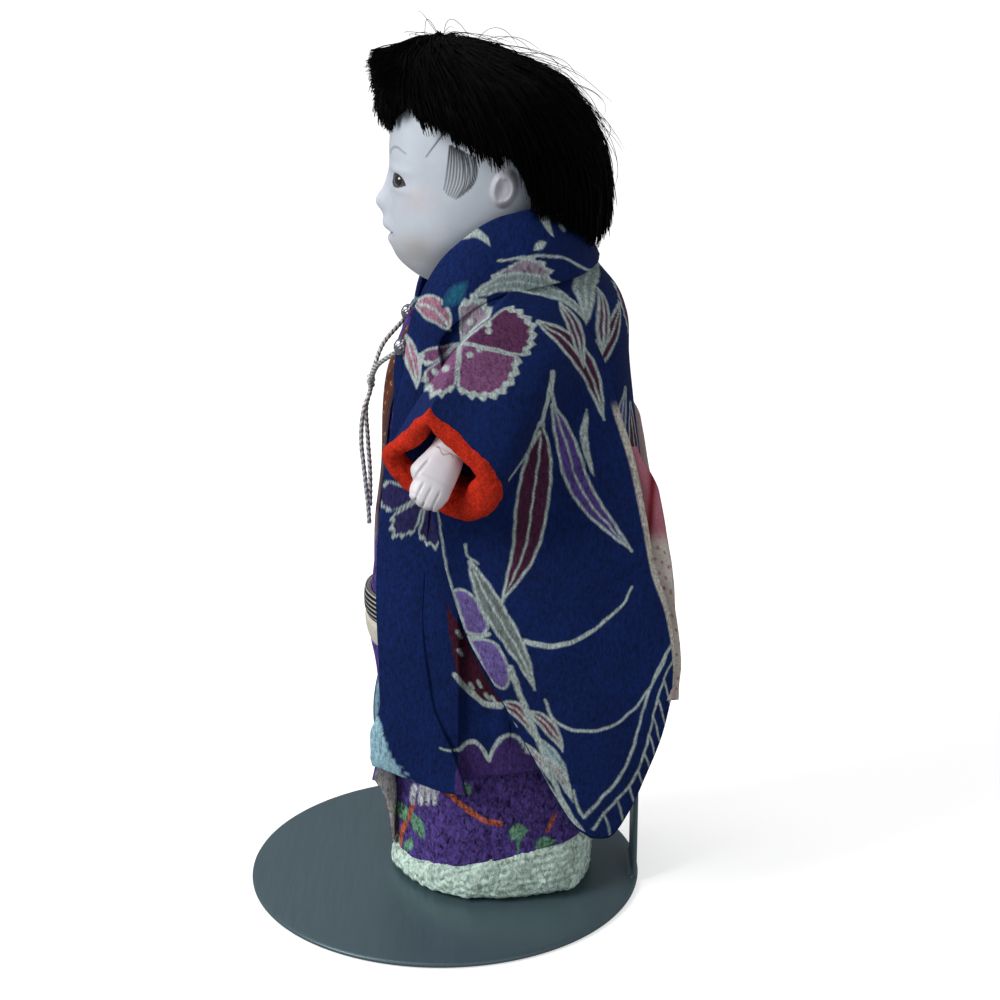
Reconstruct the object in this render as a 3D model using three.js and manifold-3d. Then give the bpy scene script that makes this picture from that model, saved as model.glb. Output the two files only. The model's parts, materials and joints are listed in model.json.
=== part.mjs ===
// Ichimatsu doll in haori and kimono on a bent plate stand.
// Millimetres, +Z up. Origin: centre of the plate's underside. The doll faces -Y, its left side is +X.
import * as THREE from 'three';
import { mergeVertices } from 'three/addons/utils/BufferGeometryUtils.js';
import Module from 'manifold-3d';

// Stand
const STAND_RADIUS = 50;
const PLATE_THICKNESS = 1.2;
const TONGUE_WIDTH = 16;
const TONGUE_TOP = 62;
const TONGUE_BEND = 2.5;
const TONGUE_CLEARANCE = 0.6;

// Layers of dress, from the wadded body outwards
const GAP = 0.35;
const ROBE_CLOTH = 0.8;
const KIMONO_CLOTH = 1.2;
const OBI_THICKNESS = 2;
const HAORI_CLOTH = 1.1;
const SLEEVE_CLOTH = 1;
const WADDING = 3;
const COLLAR_CLOTH = 1.4;

// Heights on the figure
const FIGURE_HALF_WIDTH = 19.7;
const FIGURE_FRONT = 29.4;
const FIGURE_BACK = 26.3;
const HEM_ROLL_HEIGHT = 11;
const HEM_ROLL_THICKNESS = 3.6;
const OBI_LOW = 66;
const OBI_HEIGHT = 13;
const KNOT_WIDTH = 22;
const KNOT_DEPTH = 5;
const KNOT_HEIGHT = 17;
const HIP_Z = 95;
const KNEE_Z = 56;
const HAORI_HEM_Z = 38;
const HAORI_HEM_SLOPE = 0.14;
const HAORI_OPENING = 17.5;
const COLLAR_BAND = 6.4;
const SKIRT_FOLD = 0.6;
const HAORI_FOLD = 0.7;

// Head and hair
const NECK_RADIUS = 8;
const NECK_BOTTOM = 147;
const NECK_CLEARANCE = 0.35;
const HEAD_HALF_WIDTH = 21;
const HAIR_HALF_WIDTH = 25.5;
const NOSE_REACH = 3.2;
const EYE_X = 10;
const EYE_Z = 180.6;
const EYE_HALF_LENGTH = 2.9;
const EYE_HALF_HEIGHT = 1.5;

// Arms
const SHOULDER_Y = 2;
const SHOULDER_Z = 147;
const ARM_RADIUS = 5.2;
const SHOULDER_BULGE = 4;
const UPPER_ARM = 16;
const FOREARM = 11.5;
const HAND_LENGTH = 14;
const WRIST_RADIUS = 4.1;
const CUFF_RADIUS = 12.6;
const CUFF_LIP = 3.4;
const UNDER_SLEEVE_PEEK = 2.4;

// Legs
const LEG_X = 8.6;
const THIGH_RADIUS = 7.2;
const FOOT_LENGTH = 21;

// Haori cord
const CORD_DIAMETER = 1.2;
const BEAD_DIAMETER = 4.2;
const CORD_KNOT_DIAMETER = 3.4;

// Facets round a section
const SEGMENTS = 20;
const HEAD_SEGMENTS = 24;
const HEAD_STEPS = 19;
const HAIR_STEPS = 10;
const SLEEVE_SEGMENTS = 16;
const LIMB_SEGMENTS = 14;

const wasm = await Module();
wasm.setup();

// Offsets of each layer from the wadded body
const robeOut = GAP + ROBE_CLOTH;
const kimonoIn = robeOut + GAP;
const kimonoOut = kimonoIn + KIMONO_CLOTH;
const obiIn = kimonoOut + GAP;
const obiOut = obiIn + OBI_THICKNESS;
const haoriIn = obiOut + GAP;
const haoriOut = haoriIn + HAORI_CLOTH;
const seamX = FIGURE_HALF_WIDTH + haoriOut + GAP;
const sleeveX = seamX + GAP;
const haoriBackEase = KNOT_DEPTH + GAP;
const plateTop = PLATE_THICKNESS;
const footZ = plateTop + GAP;

const vector = (x, y, z) => new THREE.Vector3(x, y, z);
const ACROSS = vector(1, 0, 0);
const BACK = vector(0, 1, 0);
const UP = vector(0, 0, 1);
const lerp = THREE.MathUtils.lerp;
const smooth = THREE.MathUtils.smoothstep;

// Solids: joins and cuts
function toSolid(geometry) {
  const bare = geometry.index ? geometry.toNonIndexed() : geometry.clone();
  bare.deleteAttribute('normal');
  bare.deleteAttribute('uv');
  const merged = mergeVertices(bare, 1e-4);
  return new wasm.Manifold(new wasm.Mesh({
    numProp: 3,
    vertProperties: new Float32Array(merged.attributes.position.array),
    triVerts: new Uint32Array(merged.index.array),
  }));
}

function largestBody(solid) {
  const bodies = solid.decompose();
  return bodies.reduce((best, body) => (body.volume() > best.volume() ? body : best));
}

function toGeometry(solid) {
  const mesh = largestBody(solid).getMesh();
  const geometry = new THREE.BufferGeometry();
  geometry.setAttribute('position', new THREE.BufferAttribute(mesh.vertProperties, 3));
  geometry.setIndex(new THREE.BufferAttribute(mesh.triVerts, 1));
  return geometry;
}

// Closed solid between rings of equal count, with a fan on each end
function loft(rings) {
  const count = rings[0].length;
  const points = rings.flat();
  const index = [];
  for (let r = 0; r + 1 < rings.length; r += 1) {
    for (let i = 0; i < count; i += 1) {
      const j = (i + 1) % count;
      const a = r * count + i;
      const b = r * count + j;
      index.push(a, b, a + count, b, b + count, a + count);
    }
  }
  const centre = (ring) => ring.reduce((sum, p) => sum.add(p), vector(0, 0, 0)).divideScalar(count);
  const low = points.push(centre(rings[0])) - 1;
  const high = points.push(centre(rings[rings.length - 1])) - 1;
  const last = (rings.length - 1) * count;
  for (let i = 0; i < count; i += 1) {
    const j = (i + 1) % count;
    index.push(low, j, i, high, last + i, last + j);
  }
  return outwards(points, index);
}

// Closed slab between two grids of points: rows[i][j] outside and the same inside
function slab(outer, inner) {
  const rows = outer.length;
  const columns = outer[0].length;
  const points = [...outer.flat(), ...inner.flat()];
  const half = rows * columns;
  const index = [];
  const quad = (a, b, c, d) => index.push(a, b, c, a, c, d);
  const at = (i, j, side) => side * half + i * columns + j;
  for (let i = 0; i + 1 < rows; i += 1) {
    for (let j = 0; j + 1 < columns; j += 1) {
      quad(at(i, j, 0), at(i, j + 1, 0), at(i + 1, j + 1, 0), at(i + 1, j, 0));
      quad(at(i, j, 1), at(i + 1, j, 1), at(i + 1, j + 1, 1), at(i, j + 1, 1));
    }
  }
  for (let i = 0; i + 1 < rows; i += 1) {
    quad(at(i, 0, 0), at(i + 1, 0, 0), at(i + 1, 0, 1), at(i, 0, 1));
    quad(at(i + 1, columns - 1, 0), at(i, columns - 1, 0), at(i, columns - 1, 1), at(i + 1, columns - 1, 1));
  }
  for (let j = 0; j + 1 < columns; j += 1) {
    quad(at(0, j + 1, 0), at(0, j, 0), at(0, j, 1), at(0, j + 1, 1));
    quad(at(rows - 1, j, 0), at(rows - 1, j + 1, 0), at(rows - 1, j + 1, 1), at(rows - 1, j, 1));
  }
  return outwards(points, index);
}

// Solid of a closed skin, turned so that its faces point out
function outwards(points, index) {
  const geometry = new THREE.BufferGeometry().setFromPoints(points);
  geometry.setIndex(index);
  const solid = toSolid(geometry);
  if (solid.volume() > 0) return solid;
  for (let i = 0; i < index.length; i += 3) {
    [index[i], index[i + 1]] = [index[i + 1], index[i]];
  }
  geometry.setIndex(index);
  return toSolid(geometry);
}

function mirrored(solid) {
  const mesh = solid.getMesh();
  const vertProperties = mesh.vertProperties.map((value, i) => (i % 3 === 0 ? -value : value));
  const triVerts = mesh.triVerts.slice();
  for (let i = 0; i < triVerts.length; i += 3) {
    [triVerts[i], triVerts[i + 1]] = [triVerts[i + 1], triVerts[i]];
  }
  return new wasm.Manifold(new wasm.Mesh({ numProp: 3, vertProperties, triVerts }));
}

function box(x0, x1, y0, y1, z0, z1) {
  const geometry = new THREE.BoxGeometry(x1 - x0, y1 - y0, z1 - z0);
  return toSolid(geometry.translate((x0 + x1) / 2, (y0 + y1) / 2, (z0 + z1) / 2));
}

function ellipsoid(centre, radii) {
  const geometry = new THREE.SphereGeometry(1, 10, 7);
  return toSolid(geometry.scale(radii.x, radii.y, radii.z).translate(centre.x, centre.y, centre.z));
}

// Straight round bar along X
function barX(x0, x1, y, z, radius) {
  const geometry = new THREE.CylinderGeometry(radius, radius, x1 - x0, LIMB_SEGMENTS);
  return toSolid(geometry.rotateZ(Math.PI / 2).translate((x0 + x1) / 2, y, z));
}

// Outline in the Y-Z plane, extruded along X by half on each side
function sidewaysPrism(outline, half) {
  const shape = new THREE.Shape(outline.map(([y, z]) => new THREE.Vector2(y, z)));
  const geometry = new THREE.ExtrudeGeometry(shape, { depth: 2 * half, bevelEnabled: false });
  geometry.translate(0, 0, -half);
  geometry.applyMatrix4(new THREE.Matrix4().makeBasis(BACK, UP, ACROSS));
  return toSolid(geometry);
}

// Round cord along hand-chosen points
function cordTube(points, diameter) {
  const path = new THREE.CatmullRomCurve3(points);
  const steps = Math.max(6, Math.round(path.getLength() / (2.2 * diameter)));
  const section = new THREE.Shape();
  section.absarc(0, 0, diameter / 2, 0, 2 * Math.PI);
  return toSolid(new THREE.ExtrudeGeometry(section, { steps, extrudePath: path, curveSegments: 4 }));
}

// Row of a table at a height, the table's first column: straight between the rows
function rowAt(table, z) {
  const last = table.length - 1;
  const i = THREE.MathUtils.clamp(table.findIndex((row) => row[0] > z) - 1, 0, last - 1);
  if (z >= table[last][0]) return table[last].slice(1);
  const t = Math.max((z - table[i][0]) / (table[i + 1][0] - table[i][0]), 0);
  return table[i].slice(1).map((value, k) => lerp(value, table[i + 1][k + 1], t));
}

// The same with a smooth curve through the rows
function curveAt(table, z) {
  const last = table.length - 1;
  if (z <= table[0][0]) return table[0].slice(1);
  if (z >= table[last][0]) return table[last].slice(1);
  const i = table.findIndex((row) => row[0] > z) - 1;
  const [low, high] = [table[i], table[i + 1]];
  const before = table[Math.max(i - 1, 0)];
  const after = table[Math.min(i + 2, last)];
  const span = high[0] - low[0];
  const t = (z - low[0]) / span;
  const rise = t * t * (3 - 2 * t);
  return low.slice(1).map((value, k) => {
    const c = k + 1;
    const slopeLow = ((high[c] - before[c]) / (high[0] - before[0])) * span;
    const slopeHigh = ((after[c] - low[c]) / (after[0] - low[0])) * span;
    return lerp(value, high[c], rise) + t * (1 - t) * ((1 - t) * slopeLow - t * slopeHigh);
  });
}

// Heights of a table's rows between two ends, with the ends
function levels(table, low, high) {
  const inside = table.map((row) => row[0]).filter((z) => z > low + GAP && z < high - GAP);
  return [low, ...inside, high];
}

// The wadded body: height, half width, front reach, back reach
const figureTable = [
  [14, FIGURE_HALF_WIDTH - 2.1, FIGURE_FRONT - 5.9, FIGURE_BACK - 6.5],
  [35, FIGURE_HALF_WIDTH - 1.6, FIGURE_FRONT - 4.6, FIGURE_BACK - 3.3],
  [62, FIGURE_HALF_WIDTH - 0.4, FIGURE_FRONT - 0.9, FIGURE_BACK - 0.1],
  [74, FIGURE_HALF_WIDTH, FIGURE_FRONT, FIGURE_BACK],
  [112, FIGURE_HALF_WIDTH, FIGURE_FRONT - 4.4, FIGURE_BACK - 0.6],
  [138, FIGURE_HALF_WIDTH - 0.1, FIGURE_FRONT - 6.6, FIGURE_BACK - 2],
  [148, FIGURE_HALF_WIDTH - 0.5, FIGURE_FRONT - 10.1, FIGURE_BACK - 3],
  [154, FIGURE_HALF_WIDTH - 1.1, FIGURE_FRONT - 13.4, FIGURE_BACK - 5.5],
  [158, FIGURE_HALF_WIDTH - 2.9, FIGURE_FRONT - 15.9, FIGURE_BACK - 8.8],
  [162, FIGURE_HALF_WIDTH - 6.4, FIGURE_FRONT - 17.9, FIGURE_BACK - 11.8],
  [166, FIGURE_HALF_WIDTH - 9.4, FIGURE_FRONT - 19.4, FIGURE_BACK - 14.8],
  [172, FIGURE_HALF_WIDTH - 10.9, FIGURE_FRONT - 20.4, FIGURE_BACK - 16.3],
];

// The back half of each layer is boxier than the front half
const BACK_POWER = 0.85;

const signedPower = (value, power) => Math.sign(value) * Math.abs(value) ** power;

// Ring round the body; angle 0 is the front
function bodyRing(z, halfWidth, front, back, fold = 0) {
  const ring = [];
  for (let i = 0; i < SEGMENTS; i += 1) {
    const angle = (2 * Math.PI * i) / SEGMENTS;
    const power = Math.cos(angle) > 0 ? 1 : BACK_POWER;
    const reach = Math.cos(angle) > 0 ? front : back;
    const swell = 1 + (fold * Math.cos(5 * angle + 0.6)) / halfWidth;
    const x = halfWidth * signedPower(Math.sin(angle), power) * swell;
    const y = -reach * signedPower(Math.cos(angle), power) * swell;
    ring.push(vector(x, y, z));
  }
  return ring;
}

// Folds of a hanging skirt grow towards its hem
const foldAt = (z, depth) => depth * (1 - smooth(z, 20, OBI_LOW - 6));

function figureSolid(offset, low, high, { fold = 0, backEase = 0 } = {}) {
  return loft(levels(figureTable, low, high).map((z) => {
    const [halfWidth, front, back] = rowAt(figureTable, z);
    const ease = backEase * (1 - smooth(z, OBI_LOW + KNOT_HEIGHT, OBI_LOW + KNOT_HEIGHT + 45));
    const reach = backEase > 0 && z < OBI_LOW ? FIGURE_BACK : back;
    return bodyRing(z, halfWidth + offset, front + offset, reach + offset + ease, foldAt(z, fold));
  }));
}

// Sloping neck line shared by every garment: low under the chin, high at the nape
const NECK_FRONT = { y: -12, z: 153 };
const NECK_BACK = { y: 13, z: 167 };
const neckSlope = (NECK_BACK.z - NECK_FRONT.z) / (NECK_BACK.y - NECK_FRONT.y);
const FAR = 70;

function aboveNeck(lift) {
  const lineAt = (y) => NECK_FRONT.z + lift + neckSlope * (y - NECK_FRONT.y);
  return sidewaysPrism([[-FAR, lineAt(-FAR)], [FAR, lineAt(FAR)], [FAR, 3 * FAR], [-FAR, 3 * FAR]], FAR);
}

function garment(inside, outside, low, high, options) {
  const inner = figureSolid(inside, low - 1, high + 1, options);
  return figureSolid(outside, low, high, options).subtract(inner);
}

// Holes through the garments in line with the shoulder joints
function armhole(grow) {
  const half = barX(0, sleeveX + 2 * SLEEVE_CLOTH, SHOULDER_Y, SHOULDER_Z, ARM_RADIUS + grow);
  return half.add(mirrored(half));
}

// Stand: a disc whose tongue is bent up at the rear edge, one sheet
function standPlate() {
  const disc = new THREE.CylinderGeometry(STAND_RADIUS, STAND_RADIUS, PLATE_THICKNESS, 3 * SEGMENTS);
  const plate = toSolid(disc.rotateX(Math.PI / 2).translate(0, 0, PLATE_THICKNESS / 2));
  const behind = box(-TONGUE_WIDTH / 2, TONGUE_WIDTH / 2, tongueBackY - TONGUE_BEND, 2 * STAND_RADIUS, -1, 3);
  const outline = new THREE.Shape();
  const outer = TONGUE_BEND + PLATE_THICKNESS;
  const bendY = tongueBackY - outer;
  const round = TONGUE_WIDTH / 2;
  outline.moveTo(bendY - TONGUE_BEND, 0);
  outline.lineTo(bendY, 0);
  outline.absarc(bendY, outer, outer, -Math.PI / 2, 0, false);
  outline.lineTo(tongueBackY, TONGUE_TOP);
  outline.lineTo(tongueBackY - PLATE_THICKNESS, TONGUE_TOP);
  outline.lineTo(tongueBackY - PLATE_THICKNESS, outer);
  outline.absarc(bendY, outer, TONGUE_BEND, 0, -Math.PI / 2, true);
  outline.lineTo(bendY - TONGUE_BEND, PLATE_THICKNESS);
  const bent = { depth: TONGUE_WIDTH, bevelEnabled: false, curveSegments: 6 };
  const strip = new THREE.ExtrudeGeometry(outline, bent);
  strip.translate(0, 0, -TONGUE_WIDTH / 2);
  strip.applyMatrix4(new THREE.Matrix4().makeBasis(BACK, UP, ACROSS));
  const end = new THREE.Shape();
  end.moveTo(-round, -1);
  end.lineTo(round, -1);
  end.lineTo(round, TONGUE_TOP - round);
  end.absarc(0, TONGUE_TOP - round, round, 0, Math.PI, false);
  const through = { depth: 2 * STAND_RADIUS, bevelEnabled: false, curveSegments: 10 };
  const front = new THREE.ExtrudeGeometry(end, through);
  const rounded = toSolid(front.rotateX(Math.PI / 2).translate(0, 2 * STAND_RADIUS, 0));
  return plate.subtract(behind).add(toSolid(strip).intersect(rounded));
}

// Torso with shoulders that carry the robes and a socket for the neck peg
function torso() {
  const rings = levels(figureTable, HIP_Z, 170).map((z) => {
    const inset = (WADDING + GAP) * (1 - smooth(z, SHOULDER_Z - 9, SHOULDER_Z - 2));
    const [halfWidth, front, back] = rowAt(figureTable, z);
    return bodyRing(z, halfWidth - inset, front - inset, back - inset);
  });
  const socket = new THREE.CylinderGeometry(1, 1, 1, LIMB_SEGMENTS);
  const reach = NECK_RADIUS + NECK_CLEARANCE;
  socket.rotateX(Math.PI / 2).scale(reach, reach, 40).translate(0, 0, NECK_BOTTOM - NECK_CLEARANCE + 20);
  const rootEnd = barX(armRootX - GAP, FAR, SHOULDER_Y, SHOULDER_Z, ARM_RADIUS + GAP);
  return loft(rings).subtract(aboveNeck(-0.6)).subtract(toSolid(socket)).subtract(rootEnd)
    .subtract(mirrored(rootEnd));
}

function wadding() {
  const low = HIP_Z + 2;
  const high = SHOULDER_Z - 11;
  return garment(-WADDING, 0, low, high);
}

// Stuffed thigh under the hip, and a lower leg with its foot on the plate
function thigh() {
  const rings = [];
  for (let i = 0; i <= 6; i += 1) {
    const t = i / 6;
    const z = lerp(KNEE_Z + GAP, HIP_Z - GAP, t);
    const radius = THIGH_RADIUS * (0.82 + 0.18 * Math.sin((t * 0.9 + 0.1) * Math.PI * 0.6));
    rings.push(roundRing(vector(LEG_X, 0, z), ACROSS, BACK, radius, radius, LIMB_SEGMENTS));
  }
  return loft(rings);
}

function lowerLeg() {
  const shin = [[footZ + 3, 4.4], [footZ + 10, 4.2], [footZ + 28, 6], [footZ + 44, 5.6], [KNEE_Z, 5.4]];
  const leg = loft(shin.map(([z, r]) => roundRing(vector(LEG_X, 0, z), ACROSS, BACK, r, r, 12)));
  const sole = [];
  const steps = 5;
  for (let i = 0; i <= steps; i += 1) {
    const t = i / steps;
    const y = lerp(6, 6 - FOOT_LENGTH, t);
    const width = 5 * Math.sin(Math.PI * (0.16 + 0.68 * t)) ** 0.6;
    const height = lerp(8, 3.4, t ** 0.8);
    sole.push(roundRing(vector(LEG_X, y, footZ + height / 2), ACROSS, UP, width, height / 2, 12));
  }
  return leg.add(loft(sole.reverse()));
}

function roundRing(centre, side, up, sideRadius, upRadius, count) {
  return Array.from({ length: count }, (_, i) => {
    const angle = (2 * Math.PI * i) / count;
    const p = centre.clone().addScaledVector(side, sideRadius * Math.cos(angle));
    return p.addScaledVector(up, upRadius * Math.sin(angle));
  });
}

// Front and back surface of a layer: depth at a given x and height
function frontY(offset, x, z) {
  const [halfWidth, front] = rowAt(figureTable, z);
  const ratio = Math.min(Math.abs(x) / (halfWidth + offset), 1);
  return -(front + offset) * Math.sqrt(1 - ratio * ratio);
}

function backY(offset, x, z) {
  const [halfWidth, , back] = rowAt(figureTable, z);
  const ratio = Math.min(Math.abs(x) / (halfWidth + offset), 1);
  return (back + offset) * (1 - ratio ** (2 / BACK_POWER)) ** (BACK_POWER / 2);
}

// The haori hangs just clear of the tongue's two rear edges
const tongueBackY = Math.sqrt(STAND_RADIUS ** 2 - (TONGUE_WIDTH / 2) ** 2);
const haoriBackInside = backY(haoriIn, TONGUE_WIDTH / 2, OBI_LOW + OBI_HEIGHT / 2) + haoriBackEase;
const dollY = tongueBackY + TONGUE_CLEARANCE + HAORI_FOLD - haoriBackInside;

const ROBE_HEM = footZ + HEM_ROLL_HEIGHT + GAP;

function underRobe() {
  const shell = garment(GAP, robeOut, ROBE_HEM, 170, { fold: SKIRT_FOLD });
  return shell.subtract(aboveNeck(0)).subtract(armhole(GAP));
}

function kimonoRobe() {
  const shell = garment(kimonoIn, kimonoOut, ROBE_HEM, 170, { fold: SKIRT_FOLD });
  return shell.subtract(aboveNeck(0.4)).subtract(armhole(GAP)).subtract(kimonoCollar(GAP));
}

// Left front of the kimono laid over the right, its lower corner curling outwards
function kimonoFrontFlap() {
  const [rows, columns] = [8, 10];
  const edgeX = -13;
  const sideX = HAORI_OPENING - 1;
  const grid = (offset) => Array.from({ length: rows + 1 }, (_, i) => {
    const z = lerp(footZ + 5, OBI_LOW - GAP, i / rows);
    return Array.from({ length: columns + 1 }, (__, j) => {
      const x = lerp(sideX, edgeX, j / columns);
      const curl = 3.2 * smooth(j / columns, 0.6, 1) * (1 - smooth(z, footZ + 8, 34));
      const skirt = kimonoOut + HEM_ROLL_THICKNESS * 0.55 + SKIRT_FOLD + GAP;
      const lay = lerp(skirt, kimonoOut + GAP + SKIRT_FOLD, smooth(z, footZ + 12, footZ + 20));
      return vector(x, frontY(lay + offset, x, z) - curl, z);
    });
  });
  return slab(grid(KIMONO_CLOTH), grid(0));
}

// Padded roll that weights the hem
function kimonoHemRoll() {
  const steps = 4;
  const outside = [];
  const inside = [];
  for (let i = 0; i <= steps; i += 1) {
    const t = i / steps;
    const z = lerp(footZ, footZ + HEM_ROLL_HEIGHT, t);
    const swell = HEM_ROLL_THICKNESS * 0.5 * Math.sin(Math.PI * (0.2 + 0.7 * t));
    const [halfWidth, front, back] = rowAt(figureTable, z);
    const out = kimonoOut + swell;
    outside.push(bodyRing(z, halfWidth + out, front + out, back + out, foldAt(z, SKIRT_FOLD)));
    const inset = kimonoOut + swell - HEM_ROLL_THICKNESS;
    const zIn = lerp(footZ - 1, footZ + HEM_ROLL_HEIGHT + 1, t);
    inside.push(bodyRing(zIn, halfWidth + inset, front + inset, back + inset, foldAt(z, SKIRT_FOLD)));
  }
  return loft(outside).subtract(loft(inside));
}

// Past the middle of the nape the two halves of a collar overlap by this much
const LAP = 0.5;

// Band between an upper and a lower edge, both running from the front end to the nape
function band(upper, lower, thickness, steps, bulge, grow = 0) {
  const edges = [upper, lower].map((points) => new THREE.CatmullRomCurve3(points));
  const inner = [];
  const outer = [];
  for (let i = 0; i <= steps; i += 1) {
    const [a, b] = edges.map((edge) => edge.getPoint(i / steps));
    const middle = a.clone().add(b).multiplyScalar(0.5);
    const along = edges[0].getTangent(i / steps).add(edges[1].getTangent(i / steps));
    const out = along.cross(b.clone().sub(a)).normalize();
    if (out.x * middle.x + out.y * middle.y < 0) out.negate();
    middle.addScaledVector(out, bulge);
    inner.push([a, middle, b].map((p) => p.clone().addScaledVector(out, -grow)));
    outer.push([a, middle, b].map((p) => p.clone().addScaledVector(out, thickness + grow)));
  }
  return slab(outer, inner);
}

// Crossed kimono collar, seen at the chest
function kimonoCollar(grow) {
  const lay = kimonoOut + GAP;
  const onChest = (x, z) => vector(x, frontY(lay, x, z) - 0.5, z);
  const upper = [onChest(-3, 126), onChest(2.5, 134), onChest(7, 142), onChest(10.5, 148.5)];
  const side = FIGURE_HALF_WIDTH;
  upper.push(vector(side - 5.1, -10.6, 156.4), vector(side - 2.5, -4, 161.2), vector(side - 4.1, 5, 165));
  upper.push(vector(9, 12.8, 167.4), vector(-LAP, 15.4, 168));
  const lower = [onChest(2, 119), onChest(7.5, 128), onChest(12, 137), onChest(15.5, 144)];
  lower.push(onChest(side - 1.3, 149), vector(side + 0.8, -6, 155), vector(side - 0.6, 6, 158.6));
  lower.push(vector(12.4, 14.4, 161), vector(-LAP, 18.2, 161.5));
  const left = band(upper, lower, COLLAR_CLOTH * 0.6, 20, 0.5, grow);
  const under = mirrored(left).subtract(box(-8, FAR, -FAR, 0, 0, 140));
  return left.add(under);
}

function obi() {
  return garment(obiIn, obiOut, OBI_LOW, OBI_LOW + OBI_HEIGHT);
}

// Flat knot at the back, under the haori: a bow-shaped pad that follows the sash
function obiKnot() {
  const [rows, columns] = [4, 8];
  const half = KNOT_WIDTH / 2;
  const grid = (seat, depth) => Array.from({ length: rows + 1 }, (_, i) => (
    Array.from({ length: columns + 1 }, (__, j) => {
      const x = lerp(-half, half, j / columns);
      const offset = seat + depth * (1 - 0.4 * (x / half) ** 2);
      const waist = 1 - 0.3 * Math.cos((x / half) * Math.PI * 0.5);
      const z = OBI_LOW + KNOT_HEIGHT * (0.45 + (i / rows - 0.5) * waist);
      return vector(x, backY(offset, x, OBI_LOW + OBI_HEIGHT / 2), z);
    })));
  return slab(grid(obiOut + GAP, KNOT_DEPTH - 2 * GAP), grid(obiOut + GAP, 0));
}

// Haori: shell round the body, opened at the front, split at the side seams
function haoriShell() {
  const options = { fold: HAORI_FOLD, backEase: haoriBackEase };
  const shell = garment(haoriIn, haoriOut, HAORI_HEM_Z - 12, 170, options);
  const hemAt = (y) => HAORI_HEM_Z + HAORI_HEM_SLOPE * y;
  const below = sidewaysPrism([[-FAR, -FAR], [FAR, -FAR], [FAR, hemAt(FAR)], [-FAR, hemAt(-FAR)]], FAR);
  return shell.subtract(below).subtract(aboveNeck(-2)).subtract(armhole(GAP)).subtract(kimonoCollar(GAP));
}

const SIDE_SEAM_Y = 1;

const haori = haoriShell();
const haoriBack = () => haori.intersect(box(-FAR, FAR, SIDE_SEAM_Y + GAP / 2, FAR, 0, 3 * FAR));

const haoriFront = () => haori.intersect(box(HAORI_OPENING, FAR, -FAR, SIDE_SEAM_Y - GAP / 2, 0, 3 * FAR));

// Long collar band: up each front edge and round the neck
function haoriCollar() {
  const lay = haoriOut + GAP + HAORI_FOLD;
  const onFront = (x, z) => vector(x, frontY(lay, x, z), z);
  const hemZ = HAORI_HEM_Z + HAORI_HEM_SLOPE * -FIGURE_FRONT;
  const inX = HAORI_OPENING;
  const outX = HAORI_OPENING + COLLAR_BAND;
  const rise = [[hemZ, 0], [77, 0], [103, 0.4], [126, 1.6], [140, 3]];
  const upper = rise.map(([z, shift]) => onFront(inX + shift, z));
  const side = FIGURE_HALF_WIDTH;
  upper.push(vector(side + 0.3, -19.5, 153), vector(side + 1.9, -14, 163.6), vector(side + 2.5, -7, 170));
  upper.push(vector(side + 2.1, 0, 173.4), vector(side - 2.7, 9, 172.8), vector(9.6, 14.6, 170.4));
  upper.push(vector(-LAP, 16.6, 169.2));
  const lower = rise.map(([z, shift]) => onFront(outX + shift * 0.3, z - shift));
  lower.push(vector(side + 4.9, -13.8, 146), vector(side + 5.3, -7.5, 153), vector(side + 5, -1.5, 156.2));
  lower.push(vector(side + 4.1, 6, 158), vector(side + 0.3, 16.5, 160), vector(11, 21.8, 161.4));
  lower.push(vector(-LAP, 23.2, 161.6));
  const left = band(upper, lower, COLLAR_CLOTH, 26, 0.7);
  return left.add(mirrored(left));
}

// Head: height, half width, front, back
const headTable = [
  [156.1, 4.4, -16.9, -12.4],
  [158, HEAD_HALF_WIDTH - 12.4, -20.4, -7.4],
  [160, HEAD_HALF_WIDTH - 9.4, -23.1, -2.4],
  [163, HEAD_HALF_WIDTH - 6.4, -25.3, 4.6],
  [166, HEAD_HALF_WIDTH - 4.3, -26, 9.8],
  [170, HEAD_HALF_WIDTH - 2.4, -26, 14.3],
  [175, HEAD_HALF_WIDTH - 1, -26.1, 17],
  [181, HEAD_HALF_WIDTH - 0.1, -25.9, 18.8],
  [188, HEAD_HALF_WIDTH, -26, 19],
  [194, HEAD_HALF_WIDTH - 0.8, -25, 17.4],
  [199, HEAD_HALF_WIDTH - 3.2, -21.9, 13.8],
  [203, HEAD_HALF_WIDTH - 7, -17, 9],
  [205.6, HEAD_HALF_WIDTH - 12, -11, 4],
  [207, 3, -6, 0],
];

// Nose, bridge, upper lip, mouth, lower lip and chin: height, half height, reach, half width
const faceTable = [
  [174.2, 3, NOSE_REACH, 2.3],
  [178.8, 3.4, 0.9, 1.6],
  [169, 2.2, 1.7, 3.6],
  [167.1, 0.8, -0.9, 4.2],
  [165.3, 1.3, 0.7, 3.2],
  [162, 2, 0.2, 4],
];

function faceReach(x, z) {
  return faceTable.reduce((sum, [height, tall, reach, wide]) => {
    const distance = ((z - height) / tall) ** 2 + (x / wide) ** 2;
    return sum + reach * Math.exp(-distance);
  }, 0);
}

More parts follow.
